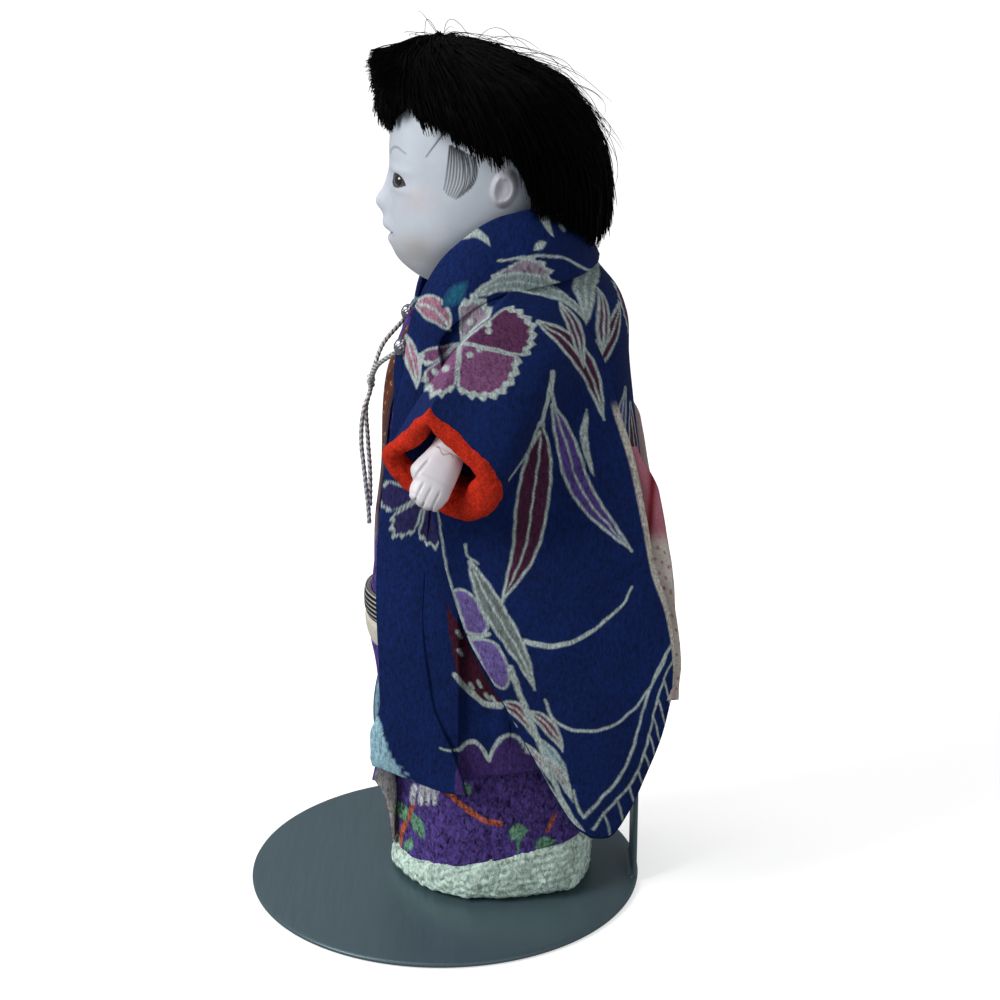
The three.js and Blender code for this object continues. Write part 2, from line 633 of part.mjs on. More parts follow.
function headBall(grow) {
  const rings = [];
  const steps = HEAD_STEPS;
  for (let i = 0; i <= steps; i += 1) {
    const z = lerp(156.1, 207, i / steps);
    const [halfWidth, front, back] = curveAt(headTable, z);
    const middle = (front + back) / 2;
    const depth = (back - front) / 2;
    const rise = z + grow * Math.sign(i - steps / 2) * (i === 0 || i === steps ? 1 : 0);
    const ring = [];
    for (let k = 0; k < HEAD_SEGMENTS; k += 1) {
      const angle = (2 * Math.PI * k) / HEAD_SEGMENTS;
      const x = (halfWidth + grow) * signedPower(Math.sin(angle), 0.94);
      const y = middle - (depth + grow) * signedPower(Math.cos(angle), 0.94);
      ring.push(vector(x, Math.cos(angle) > 0 ? y - faceReach(x, z) : y, rise));
    }
    rings.push(ring);
  }
  return loft(rings);
}

function eyeSolid(grow) {
  const turn = new THREE.Matrix4().makeRotationZ(THREE.MathUtils.degToRad(24));
  const ball = new THREE.SphereGeometry(1, 10, 6);
  ball.scale(EYE_HALF_LENGTH + grow, 1.6 + grow, EYE_HALF_HEIGHT + grow);
  ball.applyMatrix4(turn);
  return toSolid(ball.translate(EYE_X, eyeY(), EYE_Z));
}

function eyeY() {
  const [halfWidth, front, back] = curveAt(headTable, EYE_Z);
  const ratio = EYE_X / halfWidth;
  return (front + back) / 2 - ((back - front) / 2) * Math.sqrt(1 - ratio * ratio) + 0.9;
}

function earSolid(grow) {
  return ellipsoid(vector(HEAD_HALF_WIDTH - 0.6, 0.8, 180), vector(1.7 + grow, 3 + grow, 4.6 + grow));
}

function head() {
  const peg = new THREE.CylinderGeometry(NECK_RADIUS, NECK_RADIUS, 1, LIMB_SEGMENTS);
  const top = 168;
  peg.scale(1, top - NECK_BOTTOM, 1).rotateX(Math.PI / 2).translate(0, 0, (top + NECK_BOTTOM) / 2);
  const ear = earSolid(0);
  const socket = eyeSolid(GAP);
  const whole = headBall(0).add(toSolid(peg)).add(ear).add(mirrored(ear));
  return whole.subtract(socket).subtract(mirrored(socket));
}

// Hair: height, half width, front, back
const hairTable = [
  [160, HAIR_HALF_WIDTH - 9, -31, 25],
  [168, HAIR_HALF_WIDTH - 6, -31, 26],
  [176, HAIR_HALF_WIDTH - 2.4, -31, 26],
  [184, HAIR_HALF_WIDTH - 0.5, -31, 25.2],
  [192, HAIR_HALF_WIDTH, -31, 23],
  [198, HAIR_HALF_WIDTH - 1, -30.6, 19.6],
  [203, HAIR_HALF_WIDTH - 3.6, -30, 14],
  [207, HAIR_HALF_WIDTH - 7.6, -28.4, 8.6],
  [210.5, HAIR_HALF_WIDTH - 13, -24.5, 3],
  [212.6, 4, -14, -3],
];

// Cut of the hair seen from the side: fringe, crown, nape and the slanting lower edge
const hairOutline = [
  [-26.2, 193], [-29.6, 202], [-27.6, 207], [-22.8, 211], [-12, 213], [0, 213], [8.2, 207.2], [15, 202.3],
  [19.9, 197.7], [23.9, 189], [25.6, 181], [25.9, 174], [23.4, 167.2], [19, 171], [14.6, 175], [10.4, 179],
  [5.6, 184.6], [-1.4, 186.4], [-8, 190], [-14, 193.8], [-20, 193.6],
];

function hair() {
  const rings = [];
  for (let i = 0; i <= HAIR_STEPS; i += 1) {
    const z = lerp(160, 212.6, i / HAIR_STEPS);
    const [halfWidth, front, back] = curveAt(hairTable, z);
    const middle = (front + back) / 2;
    const depth = (back - front) / 2;
    rings.push(roundRing(vector(0, middle, z), ACROSS, BACK, halfWidth, depth, HEAD_SEGMENTS));
  }
  const ear = earSolid(GAP);
  return loft(rings).intersect(sidewaysPrism(hairOutline, FAR)).subtract(headBall(GAP)).subtract(ear)
    .subtract(mirrored(ear));
}

// Arm: root in line with the shoulder joint, then out, forward and down to the hand
const armRootX = 15.4;
const armDirection = vector(0.45, -0.49, -0.747).normalize();
const armSide = vector(-0.155, -0.867, 0.476).cross(armDirection).cross(armDirection).negate().normalize();
const armUp = armSide.clone().cross(armDirection);
const shoulderPoint = vector(sleeveX + 4.4, SHOULDER_Y, SHOULDER_Z);
const alongArm = (distance) => shoulderPoint.clone().addScaledVector(armDirection, distance);

function limb(stations, count = LIMB_SEGMENTS) {
  return loft(stations.map(([distance, side, up, drop = 0]) => {
    const centre = alongArm(distance).addScaledVector(armUp, -drop);
    return roundRing(centre, armSide, armUp, side, up, count);
  }));
}

function upperArm() {
  const root = barX(armRootX, shoulderPoint.x + 1, SHOULDER_Y, SHOULDER_Z, ARM_RADIUS);
  const reach = ARM_RADIUS;
  return root.add(limb([[0, reach, reach], [6, reach, reach], [UPPER_ARM, reach * 0.9, reach * 0.9]]));
}

// Composition forearm with a mitten hand and a thumb
function forearm() {
  const start = UPPER_ARM + GAP;
  const wrist = start + FOREARM;
  const tip = wrist + HAND_LENGTH;
  const arm = limb([
    [start, WRIST_RADIUS * 1.25, WRIST_RADIUS * 1.25],
    [wrist - 2, WRIST_RADIUS * 1.08, WRIST_RADIUS * 1.05],
    [wrist, WRIST_RADIUS, WRIST_RADIUS * 0.9],
    [wrist + HAND_LENGTH * 0.3, WRIST_RADIUS * 1.35, WRIST_RADIUS * 0.85, 0.3],
    [wrist + HAND_LENGTH * 0.55, WRIST_RADIUS * 1.3, WRIST_RADIUS * 0.72, 0.8],
    [wrist + HAND_LENGTH * 0.85, WRIST_RADIUS * 0.95, WRIST_RADIUS * 0.52, 1.6],
    [tip, WRIST_RADIUS * 0.4, WRIST_RADIUS * 0.28, 2],
  ]);
  const thumbBase = alongArm(wrist + HAND_LENGTH * 0.3).addScaledVector(armSide, WRIST_RADIUS * 0.9);
  const thumbWay = armDirection.clone().addScaledVector(armSide, 0.1);
  thumbWay.normalize();
  const rings = [[-1, 1.3], [2, 1.6], [5, 1.5], [7, 1.1], [7.9, 0.5]].map(([distance, radius]) => {
    const centre = thumbBase.clone().addScaledVector(thumbWay, distance);
    return roundRing(centre, armSide, armUp, radius, radius, 12);
  });
  return arm.add(loft(rings));
}

// Hanging sleeve bag: height, front edge, rear edge, inner side, outer side in front, outer side behind
const sleeveTable = [
  [24.3, 20.6, 24.7, 2.6, 5.6, 5.6],
  [39, 11, 33.2, 2.6, 6.6, 7.2],
  [52, 4.6, 37.8, 2.4, 8.4, 9.2],
  [65, -1.6, 41.6, 2.2, 9.6, 10.6],
  [77, -7.4, 40, 2, 10.8, 11.6],
  [97, -13.4, 36.4, 1.4, 12, 11.2],
  [108, -16, 34.6, 1, 12.8, 9.4],
  [118, -17, 32, 0.5, 13.6, 7],
  [130, -13, 25, 0, 13, 4.4],
  [140, -7, 20, 0, 12, 4],
  [150, 0, 15, 0, 7.4, 3.6],
  [157, 4, 11, 0, 3.2, 3.2],
];

function sleeveRing(z, front, rear, inside, outside) {
  const middle = (front + rear) / 2;
  const depth = (rear - front) / 2;
  return Array.from({ length: SLEEVE_SEGMENTS }, (_, i) => {
    const angle = (2 * Math.PI * i) / SLEEVE_SEGMENTS;
    const y = middle + depth * signedPower(Math.sin(angle), 0.8);
    const x0 = sleeveX + inside;
    const x1 = sleeveX + outside(y);
    const power = Math.sin(angle) > 0 ? 0.45 : 0.72;
    return vector((x0 + x1) / 2 + ((x1 - x0) / 2) * signedPower(Math.cos(angle), power), y, z);
  });
}

function sleeveBag(inset, { low = 24.3, high = 157, frontAt = -FAR, rearBy = () => -inset } = {}) {
  return loft(levels(sleeveTable, low, high).map((z) => {
    const [front, rear, inner, outerFront, outerRear] = rowAt(sleeveTable, z);
    const outside = (y) => {
      const width = lerp(outerFront, outerRear, Math.min((y - front) / (rear - front), 1));
      return Math.max(width - inset, inner + inset + GAP);
    };
    return sleeveRing(z, Math.max(front + inset, frontAt), rear + rearBy(z), inner + inset, outside);
  }));
}

// Sleeve tube from the armhole to the cuff, whose mouth faces out and a little forward
const cuffCentre = alongArm(UPPER_ARM + FOREARM + 4);
const cuffNormal = vector(0.84, -0.45, -0.3).normalize();
const cuffSide = UP.clone().cross(cuffNormal).normalize();
const cuffUp = cuffNormal.clone().cross(cuffSide);
const rootCentre = vector(sleeveX, SHOULDER_Y + 2, SHOULDER_Z - 4);

function tubeRing(inset, t) {
  const centre = rootCentre.clone().lerp(cuffCentre, Math.min(t, 1));
  centre.addScaledVector(cuffNormal, Math.max(t - 1, 0) * CUFF_RADIUS);
  centre.z += SHOULDER_BULGE * Math.sin(Math.PI * Math.min(t, 1));
  const side = BACK.clone().lerp(cuffSide, Math.min(t, 1)).normalize();
  const up = UP.clone().lerp(cuffUp, Math.min(t, 1)).normalize();
  const reach = lerp(CUFF_RADIUS + 3, CUFF_RADIUS, Math.min(t, 1)) - inset;
  return roundRing(centre, side, up, reach, reach * 0.96, SLEEVE_SEGMENTS);
}

const TUBE_STATIONS = [0, 0.3, 0.6, 0.82, 1];
const sleeveTube = (inset, stations) => loft(stations.map((t) => tubeRing(inset, t)));

const outsideSeam = (inset) => box(sleeveX + inset, 3 * FAR, -3 * FAR, 3 * FAR, -3 * FAR, 4 * FAR);
const FURI_LOW = 46;
const FURI_HIGH = 128;

function haoriSleeve() {
  const outer = sleeveBag(0).add(sleeveTube(0, TUBE_STATIONS)).intersect(outsideSeam(0));
  const cavity = sleeveBag(SLEEVE_CLOTH, { low: 27, high: 154 });
  const furi = sleeveBag(SLEEVE_CLOTH, { low: FURI_LOW, high: FURI_HIGH, frontAt: 10, rearBy: () => 7 });
  const bore = sleeveTube(SLEEVE_CLOTH, [...TUBE_STATIONS, 1.3]).intersect(outsideSeam(SLEEVE_CLOTH));
  return outer.subtract(cavity).subtract(furi).subtract(bore).subtract(armhole(GAP));
}

function cuffLining() {
  const inset = SLEEVE_CLOTH + GAP;
  const lip = 1 + CUFF_LIP / CUFF_RADIUS;
  return sleeveTube(inset, [0.82, 1, lip]).subtract(sleeveTube(inset + SLEEVE_CLOTH, [0.8, 1, lip + 0.1]));
}

function underSleeve() {
  const inset = SLEEVE_CLOTH + GAP;
  const [low, high] = [FURI_LOW + 3, FURI_HIGH - 4];
  const peek = (z) => lerp(-1.5, UNDER_SLEEVE_PEEK, Math.sin((Math.PI * (z - low)) / (high - low)) ** 0.5);
  const skin = sleeveBag(inset, { low, high, frontAt: 14, rearBy: peek });
  const inside = { low: low + 2, high: high - 2, frontAt: 15, rearBy: () => 9 };
  return skin.subtract(sleeveBag(inset + ROBE_CLOTH, inside));
}

// Haori cord: a bead on each front edge, two spans to the knot, then two hanging ends
const CORD_Z = 143.5;
const beadX = HAORI_OPENING + 0.6;
const beadCentre = vector(beadX, frontY(haoriOut + GAP + BEAD_DIAMETER * 0.3, beadX, CORD_Z), CORD_Z);
const knotCentre = vector(0, -31.4, 131);

function bead() {
  const radius = BEAD_DIAMETER / 2;
  return ellipsoid(beadCentre, vector(radius, radius, radius));
}

function cordKnot() {
  const radius = CORD_KNOT_DIAMETER / 2;
  return ellipsoid(knotCentre, vector(radius, radius, radius * 1.2));
}

function cordSpan() {
  const bend = vector(10.5, -29, 137.4);
  const start = bend.clone().sub(beadCentre).setLength(BEAD_DIAMETER / 2 + GAP).add(beadCentre);
  const end = knotCentre.clone().add(vector(CORD_KNOT_DIAMETER / 2 + GAP, 0, 0.5));
  return cordTube([start, bend, vector(5.6, -30.9, 133), end], CORD_DIAMETER);
}

function cordTail(side, points) {
  const drop = CORD_KNOT_DIAMETER * 0.6 + GAP;
  const start = knotCentre.clone().add(vector(side * (CORD_DIAMETER / 2 + GAP), -0.2, -drop));
  return cordTube([start, ...points], CORD_DIAMETER);
}

const leftTail = [
  vector(1.8, -33.2, 124), vector(2.4, -33.9, 117), vector(3, -33.2, 108), vector(3.6, -32.4, 99),
  vector(4, -32.3, 96),
];
const rightTail = [
  vector(-1.6, -32.8, 124), vector(-1.8, -32.6, 116), vector(-1.4, -32.2, 107), vector(-0.6, -32.3, 99),
];

// Assembly
const part = new THREE.Group();
const doll = new THREE.Group();
doll.position.y = dollY;
part.add(doll);

function addPiece(parent, name, solid, colour, roughness, metalness = 0) {
  const material = new THREE.MeshStandardMaterial({ color: colour, roughness, metalness });
  const mesh = new THREE.Mesh(toGeometry(solid), material);
  mesh.name = name;
  parent.add(mesh);
}

function addPair(name, make, colour, roughness, metalness = 0) {
  const left = make();
  addPiece(doll, `${name}_left`, left, colour, roughness, metalness);
  addPiece(doll, `${name}_right`, mirrored(left), colour, roughness, metalness);
}

addPiece(part, 'stand_plate', standPlate(), 0x4d6068, 0.35, 0.8);

addPiece(doll, 'torso', torso(), 0xc9b9a0, 0.8);
addPiece(doll, 'wadding', wadding(), 0xe4dfd2, 0.95);
addPair('thigh', thigh, 0xd8cdb8, 0.95);
addPair('lower_leg', lowerLeg, 0xc9ccd9, 0.45);
addPiece(doll, 'under_robe', underRobe(), 0xb5707f, 0.85);
addPiece(doll, 'kimono_robe', kimonoRobe(), 0x4b2f7a, 0.85);
addPiece(doll, 'kimono_front_flap', kimonoFrontFlap(), 0x4b2f7a, 0.85);
addPiece(doll, 'kimono_hem_roll', kimonoHemRoll(), 0xb5cdb9, 0.9);
addPiece(doll, 'kimono_collar', kimonoCollar(0), 0x2a2a30, 0.7);
addPiece(doll, 'obi', obi(), 0x222226, 0.7);
addPiece(doll, 'obi_knot', obiKnot(), 0x222226, 0.7);
addPiece(doll, 'haori_back', haoriBack(), 0x0d1f4f, 0.8);
addPair('haori_front', haoriFront, 0x0d1f4f, 0.8);
addPiece(doll, 'haori_collar', haoriCollar(), 0x0d1f4f, 0.8);
addPair('silver_bead', bead, 0xb8bcc2, 0.25, 1);
addPair('cord_span', cordSpan, 0xb0b2b4, 0.5);
addPiece(doll, 'cord_knot', cordKnot(), 0xb0b2b4, 0.5);
addPiece(doll, 'cord_tail_left', cordTail(1, leftTail), 0xb0b2b4, 0.5);
addPiece(doll, 'cord_tail_right', cordTail(-1, rightTail), 0xb0b2b4, 0.5);

addPiece(doll, 'head', head(), 0xc9ccd9, 0.45);
addPair('eye', () => eyeSolid(0), 0x101014, 0.08);
addPiece(doll, 'hair', hair(), 0x0a0a0c, 0.6);

addPair('upper_arm', upperArm, 0xd8cdb8, 0.95);
addPair('forearm', forearm, 0xc9ccd9, 0.45);
addPair('haori_sleeve', haoriSleeve, 0x0d1f4f, 0.8);
addPair('cuff_lining', cuffLining, 0xd8341c, 0.85);
addPair('under_sleeve', underSleeve, 0xc9c4b8, 0.85);

export default part;
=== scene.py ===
"""Looks of an ichimatsu doll on a plate stand, built round its packed frame.

Lengths are millimetres in the doll's own frame (the doll's axis at y = 0) until place() turns
them into metres in the shared frame.
"""
import copy
import json
import math

import bpy
import numpy as np
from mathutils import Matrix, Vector


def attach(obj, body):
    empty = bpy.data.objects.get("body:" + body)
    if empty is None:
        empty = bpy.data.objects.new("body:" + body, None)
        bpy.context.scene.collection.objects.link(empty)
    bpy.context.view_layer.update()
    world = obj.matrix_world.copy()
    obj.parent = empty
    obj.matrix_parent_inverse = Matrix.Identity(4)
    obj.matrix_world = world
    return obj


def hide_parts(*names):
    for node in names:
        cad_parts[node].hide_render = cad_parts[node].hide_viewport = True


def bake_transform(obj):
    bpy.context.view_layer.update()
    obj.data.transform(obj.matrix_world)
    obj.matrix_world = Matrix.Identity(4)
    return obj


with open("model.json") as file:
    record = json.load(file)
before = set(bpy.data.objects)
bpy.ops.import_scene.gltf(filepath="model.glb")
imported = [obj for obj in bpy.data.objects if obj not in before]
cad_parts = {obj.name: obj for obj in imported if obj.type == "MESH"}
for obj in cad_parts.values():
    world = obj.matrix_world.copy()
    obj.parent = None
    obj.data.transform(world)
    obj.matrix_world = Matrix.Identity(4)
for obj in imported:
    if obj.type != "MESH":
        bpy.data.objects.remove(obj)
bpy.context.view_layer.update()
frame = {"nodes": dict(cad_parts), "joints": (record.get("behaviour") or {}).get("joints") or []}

bl_info = {
    "name": "Ichimatsu doll",
    "version": (1, 0, 0),
    "blender": (4, 5, 0),
    "location": "View3D > Sidebar > Doll",
    "description": "Dresses the frame of a small doll in crepe robes, with hair, face and plate stand",
    "category": "Object",
}

# Frame
MM = 0.001
JOINTS = {joint["name"]: joint for joint in frame["joints"]}
DOLL_Y = JOINTS["head_turn"]["pos_m"][1] / MM
SIDES = {"left": 1, "right": -1}

# Camera: place in millimetres, tilt in degrees, focal length in pixels of a 1000 pixel picture
PICTURE = 1000
FOCAL = 2000
CAMERA_OUT = 466.64
CAMERA_ALONG = 14.19
CAMERA_HIGH = 252.17
CAMERA_TILT = math.radians(17.99)

# Layers of cloth: their distance out from the figure, then the places of seams and edges
KIMONO_OUT = 2.7
OBI_OUT = 5.05
HAORI_OUT = 6.5
BACK_EASE = 5.35
SEAM_Y = 1
GUSSET_Y = -9.6
OPENING_X = 17.5
BAND_X = 6.4
FOOT_Z = 1.55
HEM_TOP = 12.9
OBI_LOW = 66
OBI_TOP = 79
KIMONO_FINE = 44
KIMONO_STEP = 0.42
HAORI_HEM = 38
HEM_SLOPE = 0.14
KIMONO_SLOPE = 0.22
NECK_PLANE = (153, -12, 0.56)

# Height: half width, front reach, back reach of the figure
FIGURE = [
    (1, 17.4, 23.2, 19.2), (14, 17.6, 23.5, 19.8), (35, 18.1, 24.8, 23), (62, 19.3, 28.5, 26.2),
    (74, 19.7, 29.4, 26.3), (112, 19.7, 25, 25.7), (138, 19.6, 22.8, 24.3), (148, 19.2, 19.3, 23.3),
    (154, 18.6, 16, 20.8), (158, 16.8, 13.5, 17.5), (162, 13.3, 11.5, 14.5), (166, 10.3, 10, 11.5),
    (172, 8.8, 9, 10),
]
# Height: half width, front, back of the head and of the hair
HEAD = [
    (155.6, 0.4, -15, -14), (155.8, 3.2, -16.4, -12.9), (156.3, 5.6, -17.9, -11.3),
    (157.2, 7.9, -19.6, -8.9),
    (158.6, 10.2, -21.6, -5.6), (160.4, 12.3, -23.6, -1.4), (163, 14.6, -25.3, 4.6),
    (166, 16.7, -26, 9.8), (170, 18.6, -26, 14.3), (175, 20, -26.1, 17),
    (181, 20.9, -25.9, 18.8), (188, 21, -26, 19), (194, 20.2, -25, 17.4), (199, 17.8, -21.9, 13.8),
    (203, 14, -17, 9), (205.6, 9, -11, 4), (207, 3, -6, 0),
]
HAIR = [
    (160, 16.5, -25, 22.6), (168, 19.5, -25.4, 24.4), (176, 23.1, -25.8, 25.2), (184, 25, -25.9, 24.9),
    (190, 25.5, -25.9, 22.7), (195, 25.1, -26.6, 19.8), (199, 24, -27, 16.8), (203, 21.4, -27.4, 13),
    (206, 18, -27, 6.8), (208.4, 14.4, -25.4, 0.4), (210.3, 10.4, -22, -5), (211.6, 5.6, -18, -10.2),
    (212, 0.4, -14.6, -14),
]
# Lower cut of the hair: depth, height
HAIR_CUT = [
    (-31, 191), (-26.6, 191.6), (-24.4, 194.4), (-22, 198.4), (-20.2, 197.4), (-18, 194.6),
    (-14, 193.6), (-8, 190),
    (-1.4, 186.2), (4.2, 184.6), (5.8, 179), (7.4, 175.4), (10.4, 174.4), (14.6, 172.2), (19, 168.6),
    (21.4, 166.6),
    (23.4, 168.4), (25.4, 171.4), (27, 173),
]
# Blunt front of the fringe: height, depth
FRINGE = [(190, -25.9), (192, -26.6), (195, -28), (198.5, -28.9), (202.5, -29.9), (207, -30.3),
          (208.6, -29.6), (209.6, -27.6)]
# Face: height, tall, reach, wide of each swelling
FACE = [
    (174.2, 3, 3.2, 2.3), (178.8, 3.4, 0.9, 1.6), (169, 2.2, 1.7, 3.6), (167.1, 0.8, -0.9, 4.2),
    (165.3, 1.3, 0.7, 3.2), (162, 2, 0.2, 4),
]
EAR_Z = 180.2
EAR_HALF = (3, 4.5)
EYE = (9.4, 180.6)
EYE_HALF = (2.15, 1.6, 1.5)
EYE_TURN = math.radians(24)

# Arm
ARM_WAY = np.array((0.45, -0.49, -0.747))
ARM_ROOT = np.array((31.3, 2, 147))

# Cord: bead, knot and route points of the two halves
BEAD = (18.1, -23.0, 143.5)
BEAD_HALF = (2.1, 1.806, 2.1)
KNOT = (0, -31.4, 131)
KNOT_DIAMETER = 3.4
CORD_DIAMETER = 1.2
CORD_TWIST = 4.2
SPAN = [(16.4, -24.2, 142.1), (10.5, -29, 137.4), (5.6, -30.9, 133), (2.05, -31.4, 131.5)]
TAILS = {
    "left": [(0.95, -31.6, 128.6), (1.8, -33.2, 124), (2.4, -33.9, 117), (3, -33.2, 108), (3.6, -32.4, 99),
             (4, -32.3, 96)],
    "right": [(-0.95, -31.6, 128.6), (-1.6, -32.8, 124), (-1.8, -32.6, 116), (-1.4, -32.2, 107),
              (-0.6, -32.3, 99)],
}

# Stand, in the shared frame's millimetres
PLATE_RADIUS = 50
PLATE_THICK = 1.2
TONGUE_HALF = 8
TONGUE_BACK = 49.356
TONGUE_TOP = 62
TONGUE_BEND = 2.5

# Print colours
NAVY = "#09235d"
PALE = "#bccbc8"
MAUVE = "#83537c"
PLUM = "#62355a"
MAROON = "#4f2340"
LAVENDER = "#7a68ad"
PINK = "#b27f95"
GREY_PINK = "#9a8c9c"
AQUA = "#a3cedd"
PURPLE = "#5c4893"
CREAM = "#e4dfcf"
LINING = "#c9c4b8"
RED = "#d2321c"
SHELL = "#d5dde7"
HEM_GREEN = "#d8f0e2"
HAND_WHITE = "#efecf1"
LEAF_GREEN = "#7fae8e"
LEAF_GREY = "#93a6a5"
ROSE = "#7a3f57"
ORANGE = "#cf6a45"
UNDER_RED = "#a8323a"


def linear(colour):
    """Linear numbers of an sRGB hex colour, or of the dye that the sidebar sets for it."""
    settings = getattr(bpy.context.scene, "doll", None)
    if settings and colour in DYES:
        return np.array(getattr(settings, DYES[colour]))
    parts = np.array([int(colour[i:i + 2], 16) for i in (1, 3, 5)]) / 255
    return np.where(parts <= 0.04045, parts / 12.92, ((parts + 0.055) / 1.055) ** 2.4)


def smooth(value, low, high):
    """Soft step from 0 to 1 between two values."""
    t = np.clip((np.asarray(value, float) - low) / (high - low), 0, 1)
    return t * t * (3 - 2 * t)


def bell(value, middle, half):
    """Bump of height 1 round a middle value."""
    return np.exp(-((value - middle) / half) ** 2)


def bent(value, power):
    """Power of a number that keeps its sign."""
    return np.sign(value) * np.abs(value) ** power


def turns(count):
    """Evenly spaced angles of one full turn."""
    return np.linspace(0, 2 * math.pi, count, endpoint=False)


def mix(colour, other, share):
    """Colours that are a share of the way towards another one."""
    return colour + share * (linear(other) - colour)


def run_along(points):
    """Distance of each point from the first one, along their line."""
    return np.concatenate([[0], np.cumsum(np.linalg.norm(np.diff(points, axis=0), axis=1))])


def curve(table, at):
    """Smooth values of a table's columns at places along its first column."""
    table = np.asarray(table, float)
    at = np.asarray(at, float)
    x, y = table[:, 0], table[:, 1:]
    slope = np.gradient(y, x, axis=0)
    i = np.clip(np.searchsorted(x, at) - 1, 0, len(x) - 2)
    span = (x[i + 1] - x[i])[..., None]
    t = np.clip((at - x[i])[..., None] / span, 0, 1)
    start = (2 * t ** 3 - 3 * t ** 2 + 1) * y[i] + (t ** 3 - 2 * t ** 2 + t) * span * slope[i]
    end = (3 * t ** 2 - 2 * t ** 3) * y[i + 1] + (t ** 3 - t ** 2) * span * slope[i + 1]
    return start + end


def spline(points, count):
    """Evenly spaced points of a smooth curve through the given ones."""
    points = np.asarray(points, float)
    knots = np.concatenate([[0], np.cumsum(np.linalg.norm(np.diff(points, axis=0), axis=1) ** 0.5)])
    fine = curve(np.column_stack([knots, points]), np.linspace(0, knots[-1], 24 * len(points)))
    run = run_along(fine)
    even = np.linspace(0, run[-1], count)
    return np.column_stack([np.interp(even, run, fine[:, k]) for k in range(points.shape[1])])


def coons(top, bottom, start, end):
    """Patch between four edges: rows run from top to bottom, columns from start to end."""
    s = np.linspace(0, 1, len(top))[None, :, None]
    h = np.linspace(0, 1, len(start))[:, None, None]
    ruled = (1 - h) * top[None] + h * bottom[None] + (1 - s) * start[:, None] + s * end[:, None]
    corners = (1 - s) * (1 - h) * top[0] + s * (1 - h) * top[-1]
    return ruled - corners - (1 - s) * h * bottom[0] - s * h * bottom[-1]


def ripple(points, size, seed):
    """Soft unevenness, about -1 to 1, with bumps of the given size."""
    draw = np.random.default_rng(seed)
    total = 0
    for _ in range(7):
        way = draw.normal(size=3)
        way *= 2 * math.pi / size / np.linalg.norm(way) * draw.uniform(0.7, 1.4)
        total = total + np.sin(points @ way + draw.uniform(0, 2 * math.pi))
    return total / 3.5


def normals(grid, closed=False):
    """Outward directions of a grid whose rows go down and whose columns go anticlockwise from above."""
    if closed:
        wide = np.concatenate([grid[:, -1:], grid, grid[:, :1]], axis=1)
        across = (wide[:, 2:] - wide[:, :-2])
    else:
        across = np.gradient(grid, axis=1)
    out = np.cross(np.gradient(grid, axis=0), across)
    return out / np.maximum(np.linalg.norm(out, axis=2, keepdims=True), 1e-9)


def uneven(grid, height, size, seed, closed=False):
    """Grid with soft bumps of a height and size."""
    return grid + height * normals(grid, closed) * ripple(grid, size, seed)[..., None]


def place(points, along=DOLL_Y):
    """Points in the shared frame, in metres."""
    return (np.asarray(points, float) + (0, along, 0)) * MM


def picture(points, side=1):
    """Picture coordinates of points of the doll, seen by the camera, or by its mirror image."""
    x, y, z = points[..., 0] * side, points[..., 1] + DOLL_Y, points[..., 2]
    out, down = CAMERA_OUT - x, CAMERA_HIGH - z
    depth = out * math.cos(CAMERA_TILT) + down * math.sin(CAMERA_TILT)
    up = out * math.sin(CAMERA_TILT) - down * math.cos(CAMERA_TILT)
    return PICTURE / 2 + FOCAL * (y - CAMERA_ALONG) / depth, PICTURE / 2 - FOCAL * up / depth


def make_object(name, points, faces, look, colours=None, shift=DOLL_Y):
    """Mesh object with smooth shading, its paint in the attribute print."""
    mesh = bpy.data.meshes.new(name)
    mesh.from_pydata(place(points, shift).tolist(), [], faces)
    mesh.polygons.foreach_set("use_smooth", np.ones(len(mesh.polygons), bool))
    if colours is not None:
        layer = mesh.attributes.new("print", "FLOAT_COLOR", "POINT")
        layer.data.foreach_set("color", np.column_stack([colours, np.ones(len(colours))]).ravel())
    mesh.materials.append(material(look))
    mesh.validate()
    mesh.update()
    piece = bpy.data.objects.new(name, mesh)
    bpy.context.scene.collection.objects.link(piece)
    return piece


def quads(rows, columns, closed=False, start=0, flip=False):
    """Faces of a grid of points, listed row by row."""
    turn = columns if closed else columns - 1
    i, j = np.meshgrid(np.arange(rows - 1), np.arange(turn), indexing="ij")
    a = start + i * columns + j
    b = start + i * columns + (j + 1) % columns
    faces = np.stack([a, a + columns, b + columns, b], axis=-1).reshape(-1, 4)
    return faces[:, ::-1] if flip else faces


def dyed(colours, shape):
    """Colours of a grid's points, from one hex colour or from the colours themselves."""
    return np.broadcast_to(linear(colours),
    shape) if isinstance(colours, str) else np.reshape(colours, shape)


def tube_object(name, grid, look, colours=None, shift=DOLL_Y, flip=False):
    """Closed solid from rings of points: both ends are capped."""
    if colours is not None:
        colours = dyed(colours, grid.shape).reshape(-1, 3)
    rows, columns = grid.shape[:2]
    faces = quads(rows, columns, True, 0, flip).tolist()
    first, last = list(range(columns)), list(range((rows - 1) * columns, rows * columns))
    faces += [first[::-1], last] if flip else [first, last[::-1]]
    return make_object(name, grid.reshape(-1, 3), faces, look, colours, shift)


LINING_STEP = 3


